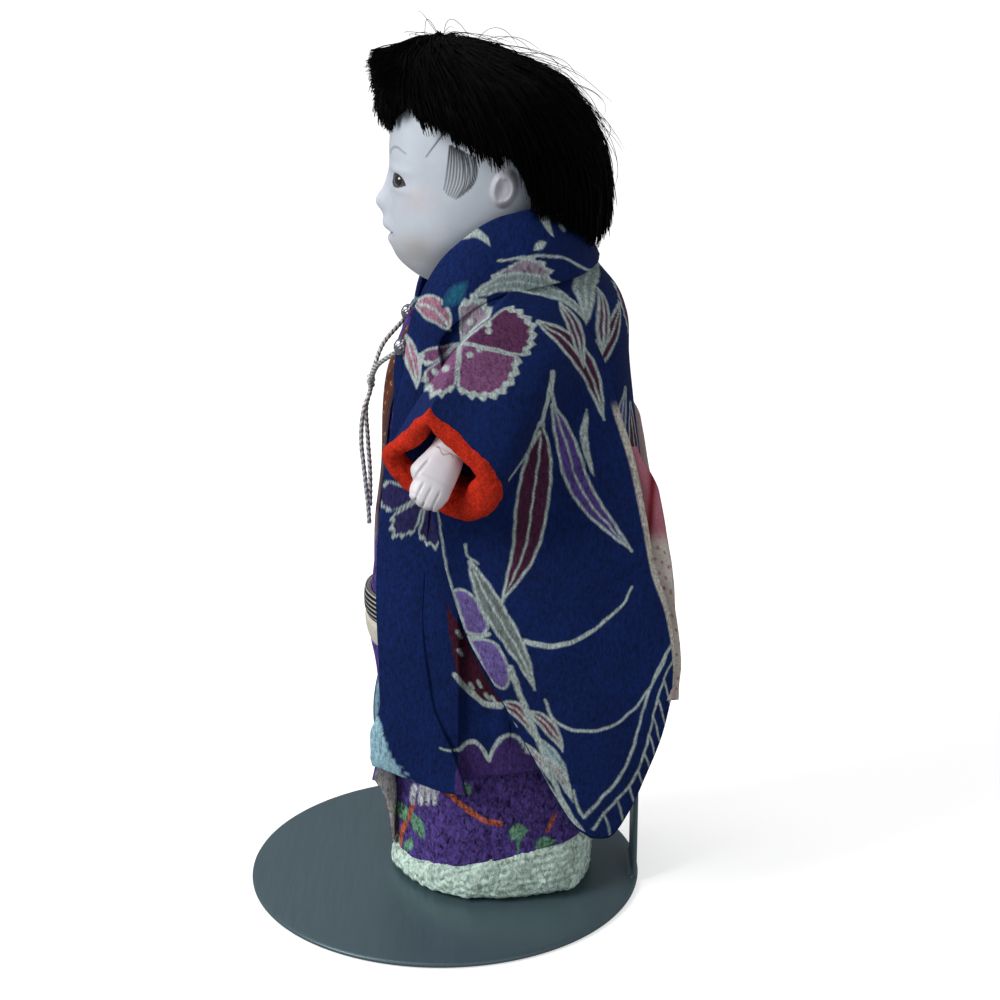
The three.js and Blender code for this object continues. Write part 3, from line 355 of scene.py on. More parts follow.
def lined_object(name, grid, wall, look, colours, lining, closed=False):
    """Sheet of cloth with a fine face, a coarser lining behind it and closed edges."""
    rows, columns = grid.shape[:2]
    step = LINING_STEP
    back = (grid - np.broadcast_to(wall, grid.shape[:2])[..., None] * normals(grid, closed))[::step, ::step]
    low_rows, low_columns = back.shape[:2]
    start = rows * columns
    faces = quads(rows, columns, closed).tolist()
    faces += quads(low_rows, low_columns, closed, start, True).tolist()

    def edge(outer, inner, flip):
        for k in range(len(inner) - 1):
            ring = list(outer[k * step:k * step + step + 1]) + [inner[k + 1], inner[k]]
            faces.append(ring[::-1] if flip else ring)

    index = np.arange(start).reshape(rows, columns)
    low = start + np.arange(low_rows * low_columns).reshape(low_rows, low_columns)
    if closed:
        index = np.column_stack([index, index[:, 0]])
        low = np.column_stack([low, low[:, 0]])
    edge(index[0].tolist(), low[0].tolist(), False)
    edge(index[-1].tolist(), low[-1].tolist(), True)
    if not closed:
        edge(index[:, 0].tolist(), low[:, 0].tolist(), True)
        edge(index[:, -1].tolist(), low[:, -1].tolist(), False)
    points = np.concatenate([grid.reshape(-1, 3), back.reshape(-1, 3)])
    paint = [dyed(colours, grid.shape), dyed(lining, grid.shape)[::step, ::step]]
    return make_object(name, points, faces, look, np.concatenate([part.reshape(-1, 3) for part in paint]))


def fit(count):
    """Next number of points that the lining's coarser step divides."""
    return (count - 1 + LINING_STEP - 1) // LINING_STEP * LINING_STEP + 1


SOFT_EDGE = 0.8


def cover(depth):
    """Share of paint at a depth inside a motif, soft along its outline."""
    return smooth(depth, -SOFT_EDGE, SOFT_EDGE)


class Print:
    """Resist-dyed print, laid on points by their place in a plane that has the picture's scale."""

    def __init__(self, across, down, ground, waver=0.3):
        u, v = np.ravel(across), np.ravel(down)
        self.u = u + waver * (np.sin(v * 0.31) + 0.7 * np.sin(u * 0.47 + 1))
        self.v = v + waver * (np.sin(u * 0.29 + 2) + 0.7 * np.sin(v * 0.53))
        self.colour = np.tile(linear(ground), (len(self.u), 1))

    def moved(self, across, down):
        """Same cloth and colours, for motifs that are set elsewhere."""
        part = copy.copy(self)
        part.u, part.v = self.u - across, self.v - down
        return part

    def lay(self, share, colour, where=slice(None)):
        """Lay a colour on points, by a share for each."""
        self.colour[where] = mix(self.colour[where], colour, np.asarray(share)[:, None])

    def within(self, line, margin):
        """Numbers of the points in the box round a line."""
        low, high = line.min(axis=0) - margin, line.max(axis=0) + margin
        inside = (self.u > low[0]) & (self.u < high[0]) & (self.v > low[1]) & (self.v < high[1])
        return np.flatnonzero(inside)

    def measure(self, line, found):
        """Distance of points from a line, and the share of the way along it."""
        best = np.full(len(found), 1e9)
        along = np.zeros(len(found))
        for k in range(len(line) - 1):
            way = line[k + 1] - line[k]
            du, dv = self.u[found] - line[k, 0], self.v[found] - line[k, 1]
            t = np.clip((du * way[0] + dv * way[1]) / (way @ way + 1e-12), 0, 1)
            distance = np.hypot(du - t * way[0], dv - t * way[1])
            closer = distance < best
            best[closer] = distance[closer]
            along[closer] = ((k + t) / (len(line) - 1))[closer]
        return best, along

    def near(self, path, margin):
        """Points near a path: their numbers, distance from it and share of the way along it."""
        line = spline(path, 32) if len(path) > 2 else np.asarray(path, float)
        found = self.within(line, margin)
        return found, *self.measure(line, found)

    def stroke(self, path, first, last, colour=PALE):
        """Line whose width goes from first to last."""
        found, distance, along = self.near(path, max(first, last) + 2)
        self.lay(cover((first + (last - first) * along) / 2 - distance), colour, found)

    def leaf(self, path, half, colour, rim=2.8, vein=2.2, edge=PALE):
        """Long leaf with a pale rim and midrib."""
        found, distance, along = self.near(path, half + 3)
        reach = half * np.sin(np.pi * np.clip(along, 0.02, 0.98) ** 0.8) ** 0.75
        self.lay(cover(reach - distance), edge, found)
        self.lay(cover(reach - rim - distance), colour, found)
        width = vein / 2 * smooth(along, 0, 0.1) * smooth(1 - along, 0, 0.2)
        self.lay(smooth(width - distance, -0.6, 0.6) * smooth(width, 0.1, 0.4), edge, found)

    def leaves(self, table):
        """Leaves of a table: path, half width and colour of each."""
        for path, half, colour in table:
            self.leaf(path, half, colour)

    def petal(self, centre, turn, reach, colour, teeth=7, rim=7, spots=(), edge=PALE):
        """Fan of a pink's flower: between two angles, with a toothed pale edge."""
        du, dv = self.u - centre[0], self.v - centre[1]
        distance, angle = np.hypot(du, dv), np.degrees(np.arctan2(dv, du))
        start, end = turn
        angle = (angle - start + 180) % 360 - 180 + start
        t = (angle - start) / (end - start)
        tooth = np.abs(((t * teeth) % 1) - 0.5) * 2
        out = np.interp(t, np.linspace(0, 1, len(reach)), reach) - 5 * tooth - 5 * (2 * t - 1) ** 4
        side = np.minimum(t, 1 - t) * math.radians(end - start) * distance
        self.lay(cover(np.minimum(out - distance, side)), edge)
        self.lay(cover(np.minimum(out - rim + 2 * tooth - distance, side - 2)), colour)
        for spot in spots:
            self.lay(cover(3.4 - np.hypot(self.u - spot[0], self.v - spot[1])), edge)

    def patch(self, outline, colour, rim=0, edge=PALE):
        """Closed patch with a rim."""
        line = spline(list(outline) + [outline[0]], 48)
        found = self.within(line, 2)
        u, v = self.u[found], self.v[found]
        odd = np.zeros(len(found), bool)
        for a, b in zip(line[:-1], line[1:]):
            crossing = (a[1] > v) != (b[1] > v)
            odd ^= crossing & (u < a[0] + (v - a[1]) * (b[0] - a[0]) / (b[1] - a[1] + 1e-12))
        distance, _ = self.measure(line, found)
        depth = np.where(odd, distance, -distance)
        if rim:
            self.lay(cover(depth), edge, found)
        self.lay(cover(depth - rim), colour, found)


# Prints. Places are pixels of the picture, so that each motif lies where the camera sees it.
FLOWER = (460, 342)
UPPER_LEAVES = [
    ([(541, 425), (539, 457), (532, 505), (524, 552), (502, 601)], 17, MAROON),
    ([(553, 405), (566, 443), (577, 480), (592, 506), (612, 529), (632, 551)], 12, PURPLE),
    ([(587, 410), (584, 436), (588, 457), (594, 476)], 4, NAVY),
    ([(538, 322), (562, 337), (584, 362), (594, 383), (604, 420)], 10, MAROON),
    ([(560, 303), (575, 328), (584, 368)], 7, PLUM),
    ([(472, 296), (507, 282), (545, 287), (576, 302), (596, 337)], 10, LEAF_GREY),
]
LOWER_LEAVES = [
    ([(470, 562), (483, 590), (498, 617), (512, 640), (524, 662), (535, 690)], 11, "#7d8887"),
    ([(530, 711), (546, 724), (557, 738), (563, 752)], 7, ROSE),
    ([(500, 703), (514, 708), (526, 720), (533, 736)], 7, ROSE),
    ([(536, 738), (548, 752), (560, 768), (569, 785)], 7, "#7fa7b5"),
    ([(548, 756), (558, 772), (567, 788), (573, 802)], 5, PINK),
    ([(518, 740), (532, 753), (545, 768), (556, 786)], 5, PINK),
]
SLEEVE_LINES = [
    ([(553, 372), (547, 403), (541, 425)], 4, 4),
    ([(553, 372), (552, 392), (556, 412)], 4, 3),
    ([(540, 432), (525, 457), (509, 480)], 3, 1),
    ([(498, 261), (537, 256), (564, 258), (589, 270), (603, 267)], 2.4, 2.4),
    ([(524, 641), (545, 646), (566, 644), (588, 634), (607, 619), (624, 603), (632, 587)], 5.5, 2),
    ([(545, 700), (554, 720), (569, 729), (591, 731), (610, 727), (632, 711), (654, 681),
      (673, 642)], 3, 2),
    ([(584, 818), (599, 801), (617, 781), (630, 757), (638, 729), (649, 692), (662, 661),
      (673, 642)], 3.4, 2),
    ([(593, 829), (610, 807), (630, 785), (643, 757), (651, 727), (656, 705), (664, 679),
      (675, 657)], 2.6, 1.8),
    ([(510, 668), (522, 700), (531, 722), (541, 748), (551, 775), (562, 800), (574, 820),
      (587, 839)], 6.5, 4),
    ([(437, 505), (443, 545), (447, 572), (452, 590)], 1.6, 2.4),
    ([(493, 690), (506, 714), (515, 727)], 3, 3),
    ([(538, 770), (558, 800), (574, 826), (588, 841)], 3, 3),
    ([(465, 637), (477, 637), (489, 634)], 4, 4),
    ([(465, 544), (468, 556), (478, 564)], 3, 1.5),
    ([(574, 790), (578, 808), (584, 818)], 2, 2.6),
]
COLLAR_LINE = SLEEVE_LINES[3]
WATER_LINES = SLEEVE_LINES[4:8]
SLEEVE_PETALS = [
    [(452, 590), (463, 588), (474, 596), (480, 605), (489, 627), (484, 635), (471, 635), (465, 631),
     (458, 611)],
    [(467, 640), (484, 638), (497, 644), (510, 670), (510, 681), (504, 690), (493, 685), (484, 672),
     (476, 655)],
]
GUSSET_PETAL = [
    (447, 603), (452, 614), (463, 631), (471, 650), (482, 670), (493, 690), (500, 700), (500, 707),
    (484, 703),
    (471, 692), (460, 683), (456, 670), (452, 648), (448, 627),
]
HEM_SCALLOPS = [
    (459, 750), (466, 743), (474, 742), (482, 748), (489, 760), (494, 748), (502, 738), (511, 735),
    (520, 740),
    (528, 752), (562, 772), (562, 800), (459, 800),
]
HEM_TIP = [(440, 748), (450, 751), (459, 750)]
RIB = [(604, 813), (620, 797), (633, 780), (643, 757), (651, 727), (656, 705), (664, 681)]


def print_shoulder(cloth):
    """Large pink at the shoulder, with its second flower behind."""
    cloth.petal((489, 277), (-28, 16), (48, 66, 58), GREY_PINK, 5, 7)
    for turn, reach, colour, teeth, spots in (
            ((-92, -40), (44, 52, 48), GREY_PINK, 4, [(470, 322)]),
            ((140, 168), (40, 50, 44), MAUVE, 3, []),
            ((95, 140), (52, 64, 56), MAUVE, 5, [(435, 372), (446, 368.5)]),
            ((13, 94), (68, 70, 54), MAUVE, 8, [(470, 355), (480, 349)]),
            ((-38, 13), (66, 80, 74), PLUM, 7, [(488, 324), (489, 331)])):
        cloth.petal(FLOWER, turn, reach, colour, teeth, 8, spots)


def print_sleeve(cloth):
    """Leaves, water lines and ribs of a hanging sleeve."""
    print_shoulder(cloth)
    cloth.leaves(UPPER_LEAVES)
    for outline in SLEEVE_PETALS:
        cloth.patch(outline, LAVENDER, 2.6)
    cloth.leaves(LOWER_LEAVES)
    for path, first, last in SLEEVE_LINES:
        cloth.stroke(path, first, last)
    for u, v in spline(RIB, 9):
        cloth.stroke([(u, v), (u + 4, v + 13), (u + 7, v + 27)], 1.9, 1.3)


def print_body(cloth):
    """Front, gusset and collar of the haori."""
    print_shoulder(cloth)
    cloth.leaves(UPPER_LEAVES[3:])
    cloth.stroke(*COLLAR_LINE)
    for turn in ((60, 105), (108, 150), (152, 200), (20, 58)):
        cloth.petal((428, 494), turn, (44, 58, 46), "#2d2a5c", 5, 5)
    cloth.patch(GUSSET_PETAL, "#4a1a2e")
    cloth.stroke([(455, 675), (462, 684), (471, 692), (484, 703), (500, 706)], 5, 6)
    for u, v in ((458, 632), (459, 650), (470, 684), (478, 682), (486, 694), (492, 697)):
        cloth.stroke([(u, v), (u + 3, v + 5)], 4, 3)
    cloth.patch(HEM_SCALLOPS, "#453170")
    for path, width in ((HEM_SCALLOPS[:5], 4), (HEM_SCALLOPS[4:10], 4), (HEM_TIP, 2)):
        cloth.stroke(path, width, width)
    cloth.leaf([(415, 303), (428, 306), (441, 316), (450, 330)], 13, PINK, 3, 3)
    cloth.leaf([(406, 336), (410, 352), (415, 370), (417, 388)], 8, PINK, 3, 2)
    cloth.leaf([(463, 238), (474, 233), (483, 237), (490, 245)], 4.5, PALE)
    cloth.leaf([(444, 306), (456, 294), (468, 280)], 9, "#1d5f7c", 3, 0, "#1b4a72")
    cloth.leaf([(535, 202), (541, 212), (547, 224), (553, 236)], 4.5, PALE)
    cloth.leaf([(535, 250), (540, 246), (546, 242)], 4, LEAF_GREY)
    cloth.stroke([(561, 226), (564, 230)], 4, 4, LEAF_GREY)


def print_back(cloth):
    """Same motifs over the unseen back, set in another order."""
    for across, down in ((0, -60), (150, 150), (-170, 270)):
        part = cloth.moved(across, down)
        print_shoulder(part)
        part.leaves(UPPER_LEAVES)
    for path, first, last in WATER_LINES:
        cloth.stroke(path, first, last)


KIMONO_STEMS = [
    ([(448, 793), (467, 809), (484, 820), (500, 824)], 5),
    ([(555, 815), (551, 823), (547, 831)], 3.5),
    ([(413, 804), (409, 815), (404, 826), (397, 853)], 5),
]
KIMONO_LEAVES = [
    ([(398, 802), (402, 811), (406, 821)], 6), ([(413, 814), (418, 826), (424, 838)], 6),
    ([(389, 848), (394, 842), (401, 838)], 5), ([(512, 838), (519, 832), (528, 830)], 9),
    ([(518, 838), (518, 846), (517, 854)], 2), ([(459, 786), (465, 789), (472, 794)], 6),
    ([(405, 850), (409, 844), (412, 838)], 5), ([(536, 848), (546, 842), (556, 840)], 6),
]
KIMONO_PETALS = (413, 421, 428, 435)


def print_kimono(cloth):
    """Stems, leaves and white petals on purple crepe."""
    for path, width in KIMONO_STEMS:
        cloth.stroke(path, width, width, ORANGE)
    for path, half in KIMONO_LEAVES:
        cloth.leaf(path, half, LEAF_GREEN, 1.2, 1.4, "#5d967f")
    for u in KIMONO_PETALS:
        cloth.stroke([(u + 1, 788), (u, 796), (u - 1, 803)], 7, 5, "#d9dbe4")


# Materials
def add(tree, kind, settings, links):
    """Node of a kind, with its settings, and sockets that are linked or given a value."""
    node = tree.nodes.new(kind)
    for key, value in settings.items():
        setattr(node, key, value)
    for socket, value in links.items():
        if isinstance(value, bpy.types.NodeSocket):
            tree.links.new(value, node.inputs[socket])
        else:
            node.inputs[socket].default_value = value
    return node


def new_material(name):
    """Empty material and its tree."""
    made = bpy.data.materials.new(name)
    made.use_nodes = True
    made.node_tree.nodes.clear()
    return made, made.node_tree


def surface(tree, values):
    """Principled shader with values or links on its sockets, as the tree's output."""
    shader = add(tree, "ShaderNodeBsdfPrincipled", {}, values)
    add(tree, "ShaderNodeOutputMaterial", {}, {"Surface": shader.outputs["BSDF"]})


def crepe(name, grain, relief, values, tall, contrast):
    """Silk crepe: over-twisted threads pucker into short upright wrinkles that catch the light.

    grain is a wrinkle's width and relief its height, in millimetres."""
    made, tree = new_material(name)
    where = add(tree, "ShaderNodeTexCoord", {}, {})
    drawn = add(tree, "ShaderNodeMapping", {}, {"Vector": where.outputs["Object"], "Scale": (1, 1, tall)})
    pucker = add(tree, "ShaderNodeTexNoise", {}, {
        "Vector": drawn.outputs["Vector"], "Scale": 1 / (grain * MM), "Detail": 2.5, "Roughness": 0.6,
        "Distortion": 0.9})
    thread = add(tree, "ShaderNodeTexNoise", {}, {
        "Vector": where.outputs["Object"], "Scale": 3.5 / (grain * MM), "Detail": 1})
    worn = add(tree, "ShaderNodeTexNoise", {}, {"Vector": where.outputs["Object"], "Scale": 1 / (14 * MM)})
    dye = add(tree, "ShaderNodeAttribute", {"attribute_name": "print"}, {})
    # Painted shade and highlight: the colour is darker in the wrinkles' hollows and lighter on their ridges,
    # by the contrast
    light = add(tree, "ShaderNodeMapRange", {}, {
        "Value": pucker.outputs["Fac"], "From Min": 0.3, "From Max": 0.7, "To Min": 1 - contrast,
        "To Max": 1 + 0.7 * contrast})
    fade = add(tree, "ShaderNodeMapRange", {}, {
        "Value": worn.outputs["Fac"], "From Min": 0.3, "From Max": 0.7, "To Min": 0.85, "To Max": 1.15})
    both = add(tree, "ShaderNodeMath", {"operation": "MULTIPLY"}, {
        0: light.outputs["Result"], 1: fade.outputs["Result"]})
    shade = add(tree, "ShaderNodeVectorMath", {"operation": "SCALE"}, {
        "Vector": dye.outputs["Color"], "Scale": both.outputs["Value"]})
    height = add(tree, "ShaderNodeMath", {"operation": "MULTIPLY_ADD"}, {
        0: thread.outputs["Fac"], 1: 0.3, 2: pucker.outputs["Fac"]})
    bump = add(tree, "ShaderNodeBump", {}, {
        "Height": height.outputs["Value"], "Strength": 0.8, "Distance": relief * MM})
    surface(tree, {
        "Roughness": 0.85, "Specular IOR Level": 0.12, **values, "Base Color": shade.outputs["Vector"],
        "Normal": bump.outputs["Normal"]})
    return made


def shell_white():
    """Polished oyster-shell gesso over wood composition: cool satin white with faint stains."""
    made, tree = new_material("polished_shell_white")
    where = add(tree, "ShaderNodeTexCoord", {}, {})
    cloud = add(tree, "ShaderNodeTexNoise", {}, {
        "Vector": where.outputs["Object"], "Scale": 1 / (9 * MM), "Detail": 4, "Roughness": 0.65})
    speck = add(tree, "ShaderNodeTexNoise", {}, {
        "Vector": where.outputs["Object"], "Scale": 1 / (0.8 * MM), "Detail": 2})
    paint = add(tree, "ShaderNodeAttribute", {"attribute_name": "print"}, {})
    light = add(tree, "ShaderNodeMapRange", {}, {
        "Value": cloud.outputs["Fac"], "From Min": 0.3, "From Max": 0.7, "To Min": 0.93, "To Max": 1.05})
    shade = add(tree, "ShaderNodeVectorMath", {"operation": "SCALE"}, {
        "Vector": paint.outputs["Color"], "Scale": light.outputs["Result"]})
    rough = add(tree, "ShaderNodeMapRange", {}, {
        "Value": speck.outputs["Fac"], "To Min": 0.3, "To Max": 0.48})
    bump = add(tree, "ShaderNodeBump", {}, {
        "Height": speck.outputs["Fac"], "Strength": 0.15, "Distance": 0.05 * MM})
    surface(tree, {
        "Specular IOR Level": 0.4, "Subsurface Weight": 0.06, "Subsurface Radius": (0.004, 0.002, 0.0015),
        "Subsurface Scale": 0.5, "Base Color": shade.outputs["Vector"], "Roughness": rough.outputs["Result"],
        "Normal": bump.outputs["Normal"]})
    return made


def grained(name, colour, dark, grain, stretch, values, rough):
    """Surface whose colour and gloss drift between two values along a drawn-out grain."""
    made, tree = new_material(name)
    where = add(tree, "ShaderNodeTexCoord", {}, {})
    drawn = add(tree, "ShaderNodeMapping", {}, {"Vector": where.outputs["Object"], "Scale": stretch})
    noise = add(tree, "ShaderNodeTexNoise", {}, {
        "Vector": drawn.outputs["Vector"], "Scale": 1 / (grain * MM), "Detail": 4, "Roughness": 0.6})
    tint = add(tree, "ShaderNodeMix", {"data_type": "RGBA"}, {
        0: noise.outputs["Fac"], 6: (*linear(dark), 1), 7: (*linear(colour), 1)})
    gloss = add(tree, "ShaderNodeMapRange", {}, {
        "Value": noise.outputs["Fac"], "From Min": 0.3, "From Max": 0.7,
        "To Min": rough[0], "To Max": rough[1]})
    bump = add(tree, "ShaderNodeBump", {}, {
        "Height": noise.outputs["Fac"], "Strength": 0.25, "Distance": grain * 0.1 * MM})
    surface(tree, {
        **values, "Base Color": tint.outputs[2], "Roughness": gloss.outputs["Result"],
        "Normal": bump.outputs["Normal"]})
    return made


MAKERS = {
    # Printed silk crepe of the haori: fine matt wrinkles, a faint sheen at grazing light
    "haori_crepe": lambda: crepe("haori_silk_crepe", 0.62, 0.26, {"Specular IOR Level": 0.2}, 0.45, 0.55),
    # Coarser purple crepe of the kimono: pebbled, with deep shadows between the wrinkles
    "kimono_crepe": lambda: crepe("kimono_coarse_crepe", 1.0, 0.5, {}, 0.6, 0.9),
    # Padded hem of undyed crepe: the coarsest wrinkle, almost like knitted loops
    "hem_crepe": lambda: crepe("hem_undyed_crepe", 1.2, 0.6, {}, 0.7, 0.6),
    # Scarlet crepe of the cuffs: soft, matt and slightly felted
    "cuff_crepe": lambda: crepe("cuff_scarlet_crepe", 0.7, 0.3, {}, 1, 0.45),
    # Thin plain-woven under-robe silk: smooth with a soft shine
    "robe_silk": lambda: crepe("under_robe_silk", 0.35, 0.08, {"Roughness": 0.55}, 1, 0.25),
    # Sash of ribbed silk: tight threads with a low lustre
    "sash_silk": lambda: crepe("ribbed_sash_silk", 0.3, 0.1, {"Roughness": 0.5}, 1, 0.25),
    # Twisted silver-wrapped cord: bright thread, its colour from its twist, with painted shade in the grooves
    # between the turns
    "silver_cord": lambda: crepe("silver_wrapped_cord", 0.25, 0.08,
                                 {"Metallic": 0.25, "Roughness": 0.38}, 1, 0.3),
    "shell_white": shell_white,
    # Cold-rolled steel plate: dark blue-grey, satin, with a faint drawn grain
    "steel": lambda: grained("cold_rolled_steel", "#61777f", "#54686f", 0.7, (0.06, 1, 1),
                             {"Metallic": 0.35}, (0.3, 0.42)),
    # Bare silver bead: bright metal, tarnished in its hollows
    "silver": lambda: grained("tarnished_silver", "#c9ccd2", "#5a5c62", 0.8, (1, 1, 1),
                              {"Metallic": 1}, (0.2, 0.4)),
    # Dressed black silk hair: glossy strands, brown-black in the light
    "hair": lambda: grained("black_silk_hair", "#040405", "#010102", 0.5, (1, 1, 0.1),
                            {"Specular IOR Level": 0.06}, (0.42, 0.6)),
    # Brown-black glass: the wet gloss of an inset eye
    "glass": lambda: grained("brown_black_glass", "#1c1310", "#0a0707", 0.6, (1, 1, 1),
                             {"Coat Weight": 1.0, "Coat Roughness": 0.04}, (0.08, 0.16)),
    # Sawdust composition under a thin coat of shell white: pale, dull and slightly gritty
    "composition": lambda: grained("coated_composition", "#cdd3da", "#b5bac2", 0.9, (1, 1, 1),
                                   {}, (0.5, 0.7)),
    # Cotton wadding and stuffed cotton: off-white, dull, with loose fibres
    "cotton": lambda: grained("unbleached_cotton", "#d9d0bd", "#b7ab94", 0.8, (1, 1, 0.4), {}, (0.85, 0.95)),
}
materials = {}


def material(name):
    """Material of a name, made when it is first asked for."""
    if name not in materials:
        materials[name] = MAKERS[name]()
    return materials[name]


def settle(piece, body, slot, *nodes):
    """Piece moves with a body, takes a slot's finish and stands for the nodes."""
    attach(piece, body)
    stand_for(piece, slot, *nodes)


def stand_for(piece, slot, *nodes):
    """Piece takes a slot's finish and stands for the nodes."""
    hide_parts(*nodes)


def mirrored(points, side):
    """Points of the left side, or their mirror image."""
    return np.asarray(points, float) * (side, 1, 1)


# Figure: least reach of its back under the sash, roundness of the back, heights over which the coat's ease
# and the skirt's folds fade out, and number of those folds
SEAT_BACK = 26.3
BACK_ROUND = 0.85
EASE_FADES = (83, 128)
FOLD_FADES = (20, 60)
FOLDS = 5


def body_grid(z, angle, offset, fold=0.0, ease=0.0):
    """Points of a layer round the figure, at heights and at angles from the front."""
    z, angle = np.broadcast_arrays(np.asarray(z, float), np.asarray(angle, float))
    width, front, back = np.moveaxis(curve(FIGURE, z), -1, 0)
    if ease:
        back = np.maximum(back, np.where(z < OBI_LOW, SEAT_BACK, 0)) + ease * (1 - smooth(z, *EASE_FADES))
    sine, cosine = np.sin(angle), np.cos(angle)
    power = np.where(cosine > 0, 1, BACK_ROUND)
    half = width + offset
    swell = 1 + fold * (1 - smooth(z, *FOLD_FADES)) * np.cos(FOLDS * angle + 0.6) / half
    reach = np.where(cosine > 0, front, back) + offset
    x = half * bent(sine, power) * swell
    y = -reach * bent(cosine, power) * swell
    return np.stack([x, y, z], axis=-1)


def neck_height(angle, offset, lift):
    """Height at which a layer meets the slanting neck cut."""
    low, at, slope = NECK_PLANE
    z = np.full(np.shape(angle), 158.0)
    for _ in range(12):
        z = 0.5 * z + 0.5 * (low + lift + slope * (body_grid(z, angle, offset)[..., 1] - at))
    return z


def front_y(offset, x, z):
    """Depth of a layer's front at a width and height."""
    width, front, _ = np.moveaxis(curve(FIGURE, z), -1, 0)
    ratio = np.minimum(np.abs(x) / (width + offset), 1)
    return -(front + offset) * np.sqrt(1 - ratio * ratio)


def cloth_count(length, spacing):
    """Number of points over a length of cloth, at a spacing."""
    return fit(int(length / spacing))


def through(points, count):
    """Points of a smooth curve that passes the given ones at even steps of their number."""
    points = np.asarray(points, float)
    numbered = np.column_stack([np.arange(len(points)), points])
    return curve(numbered, np.linspace(0, len(points) - 1, count))


def for_side(grid, side):
    """Grid of the left side, or its mirror image with its faces still outwards."""
    return grid if side > 0 else grid[:, ::-1] * (-1, 1, 1)


def make_stand():
    """Round plate with a rounded rim, and the tongue that is bent up from it."""
    rim = PLATE_THICK / 2
    flat = PLATE_RADIUS - rim
    rows = [(flat * t ** 0.8 + 0.02, PLATE_THICK) for t in np.linspace(0, 1, 30)]
    rows += [(flat + rim * math.cos(turn), rim + rim * math.sin(turn))
             for turn in np.linspace(math.pi / 2, -math.pi / 2, 9)[1:-1]]
    rows += [(flat * t + 0.02, 0) for t in np.linspace(1, 0, 12)]
    radius, height = np.array(rows).T[..., None]
    turn = turns(240)
    disc = np.stack([radius * np.cos(turn), radius * np.sin(turn), height + 0 * turn], axis=-1)
    plate = tube_object("plate_disc", disc, "steel", None, 0)
    settle(plate, "stand", "stand_steel", "stand_plate")

    # The tongue's middle line: depth, height, lean
    bend = TONGUE_BEND - rim
    upright = TONGUE_TOP - TONGUE_HALF
    spine = [(TONGUE_BACK - TONGUE_BEND - 6, rim + 0.01, 0)]
    for lean in np.linspace(0, math.pi / 2, 9):
        spine.append((TONGUE_BACK - TONGUE_BEND + bend * math.sin(lean),
                      TONGUE_BEND - bend * math.cos(lean) + 0.01, lean))
    spine += [(TONGUE_BACK - rim, z, math.pi / 2) for z in np.linspace(TONGUE_BEND + 4, upright, 14)]
    spine += [(TONGUE_BACK - rim, upright + TONGUE_HALF * math.sin(turn), math.pi / 2)
              for turn in np.linspace(0, math.pi / 2, 16)[1:]]
    across = np.concatenate([np.linspace(-1, 1, 17), np.linspace(1, -1, 17)])
    thick = np.concatenate([np.ones(17), -np.ones(17)]) * 0.58 * (1 - 0.6 * across ** 20)
    rings = []
    for y, z, lean in spine:
        rise = max(z - upright, 0) / TONGUE_HALF
        half = TONGUE_HALF * math.sqrt(max(1 - rise * rise, 0.0004))
        rings.append(np.stack([
            half * across, y + thick * math.sin(lean), z - thick * math.cos(lean)], axis=-1))
    tongue = tube_object("plate_tongue", np.array(rings), "steel", None, 0, True)
    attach(tongue, "stand")


def unit_ball(rows, columns):
    """Rings of points on a ball of radius 1, from the top to the bottom."""
    up = np.linspace(0.02, math.pi - 0.02, rows)[:, None]
    turn = turns(columns)[None]
    return np.stack([np.sin(up) * np.cos(turn), np.sin(up) * np.sin(turn), np.cos(up) + 0 * turn], -1)


def tube_along(path, radius, sides, lobes=0, twist=0.0, depth=0.0):
    """Rings of points along a path, with lobes that wind round it."""
    path = np.asarray(path, float)
    way = np.gradient(path, axis=0)
    way /= np.linalg.norm(way, axis=1, keepdims=True)
    side = np.cross(way, (0.3, 0.2, 1.0))
    side /= np.linalg.norm(side, axis=1, keepdims=True)
    up = np.cross(way, side)
    run = run_along(path)
    turn = turns(sides)
    wind = lobes * turn[None] - twist * run[:, None]
    reach = radius * (1 - depth + depth * np.cos(wind))
    across, rise = np.cos(turn)[None, :, None], np.sin(turn)[None, :, None]
    return path[:, None] + reach[..., None] * (across * side[:, None] + rise * up[:, None]), wind


def silver_with_groove_shade(wind):
    """Bright thread of a twisted cord, and the dark core between its turns."""
    # Painted shade: dark where the winding sinks into its grooves
    return np.where(np.cos(wind)[..., None] > -0.5, linear("#e4e4e0"), linear("#4c4c52"))


def make_cord():
    """Silver cord of the haori: a bead on each front edge, one knot and two hanging ends."""
    beads = []
    for name, side in SIDES.items():
        grid = unit_ball(34, 56)
        grid = grid * (1 + 0.05 * ripple(grid, 0.5, 1))[..., None] * BEAD_HALF + mirrored(BEAD, side)
        bead = tube_object(f"bead_{name}", grid, "silver")
        settle(bead, "doll", "silver", f"silver_bead_{name}")
        beads.append(bead)
    t = np.append(turns(120), 0)
    trefoil = np.stack([
        np.sin(t) + 2 * np.sin(2 * t), -1.1 * np.sin(3 * t), np.cos(t) - 2 * np.cos(2 * t)], -1)
    line = trefoil * KNOT_DIAMETER / 2 * 0.26 + KNOT
    grid, wind = tube_along(line, 0.55, 14, 2, CORD_TWIST, 0.12)
    silver = silver_with_groove_shade(wind)
    knot = tube_object("cord_knot_tied", grid, "silver_cord", silver, DOLL_Y, True)
    settle(knot, "doll", "silver_cord", "cord_knot")
    for (name, side), bead in zip(SIDES.items(), beads):
        start = mirrored(SPAN, side).tolist()
        route = spline(start + TAILS[name], 190)
        grid, wind = tube_along(route, CORD_DIAMETER / 2, 14, 2, CORD_TWIST * side, 0.12)
        silver = silver_with_groove_shade(wind)
        piece = tube_object(f"cord_{name}", grid, "silver_cord", silver, DOLL_Y, True)
        settle(piece, "doll", "silver_cord", f"cord_span_{name}", f"cord_tail_{name}")


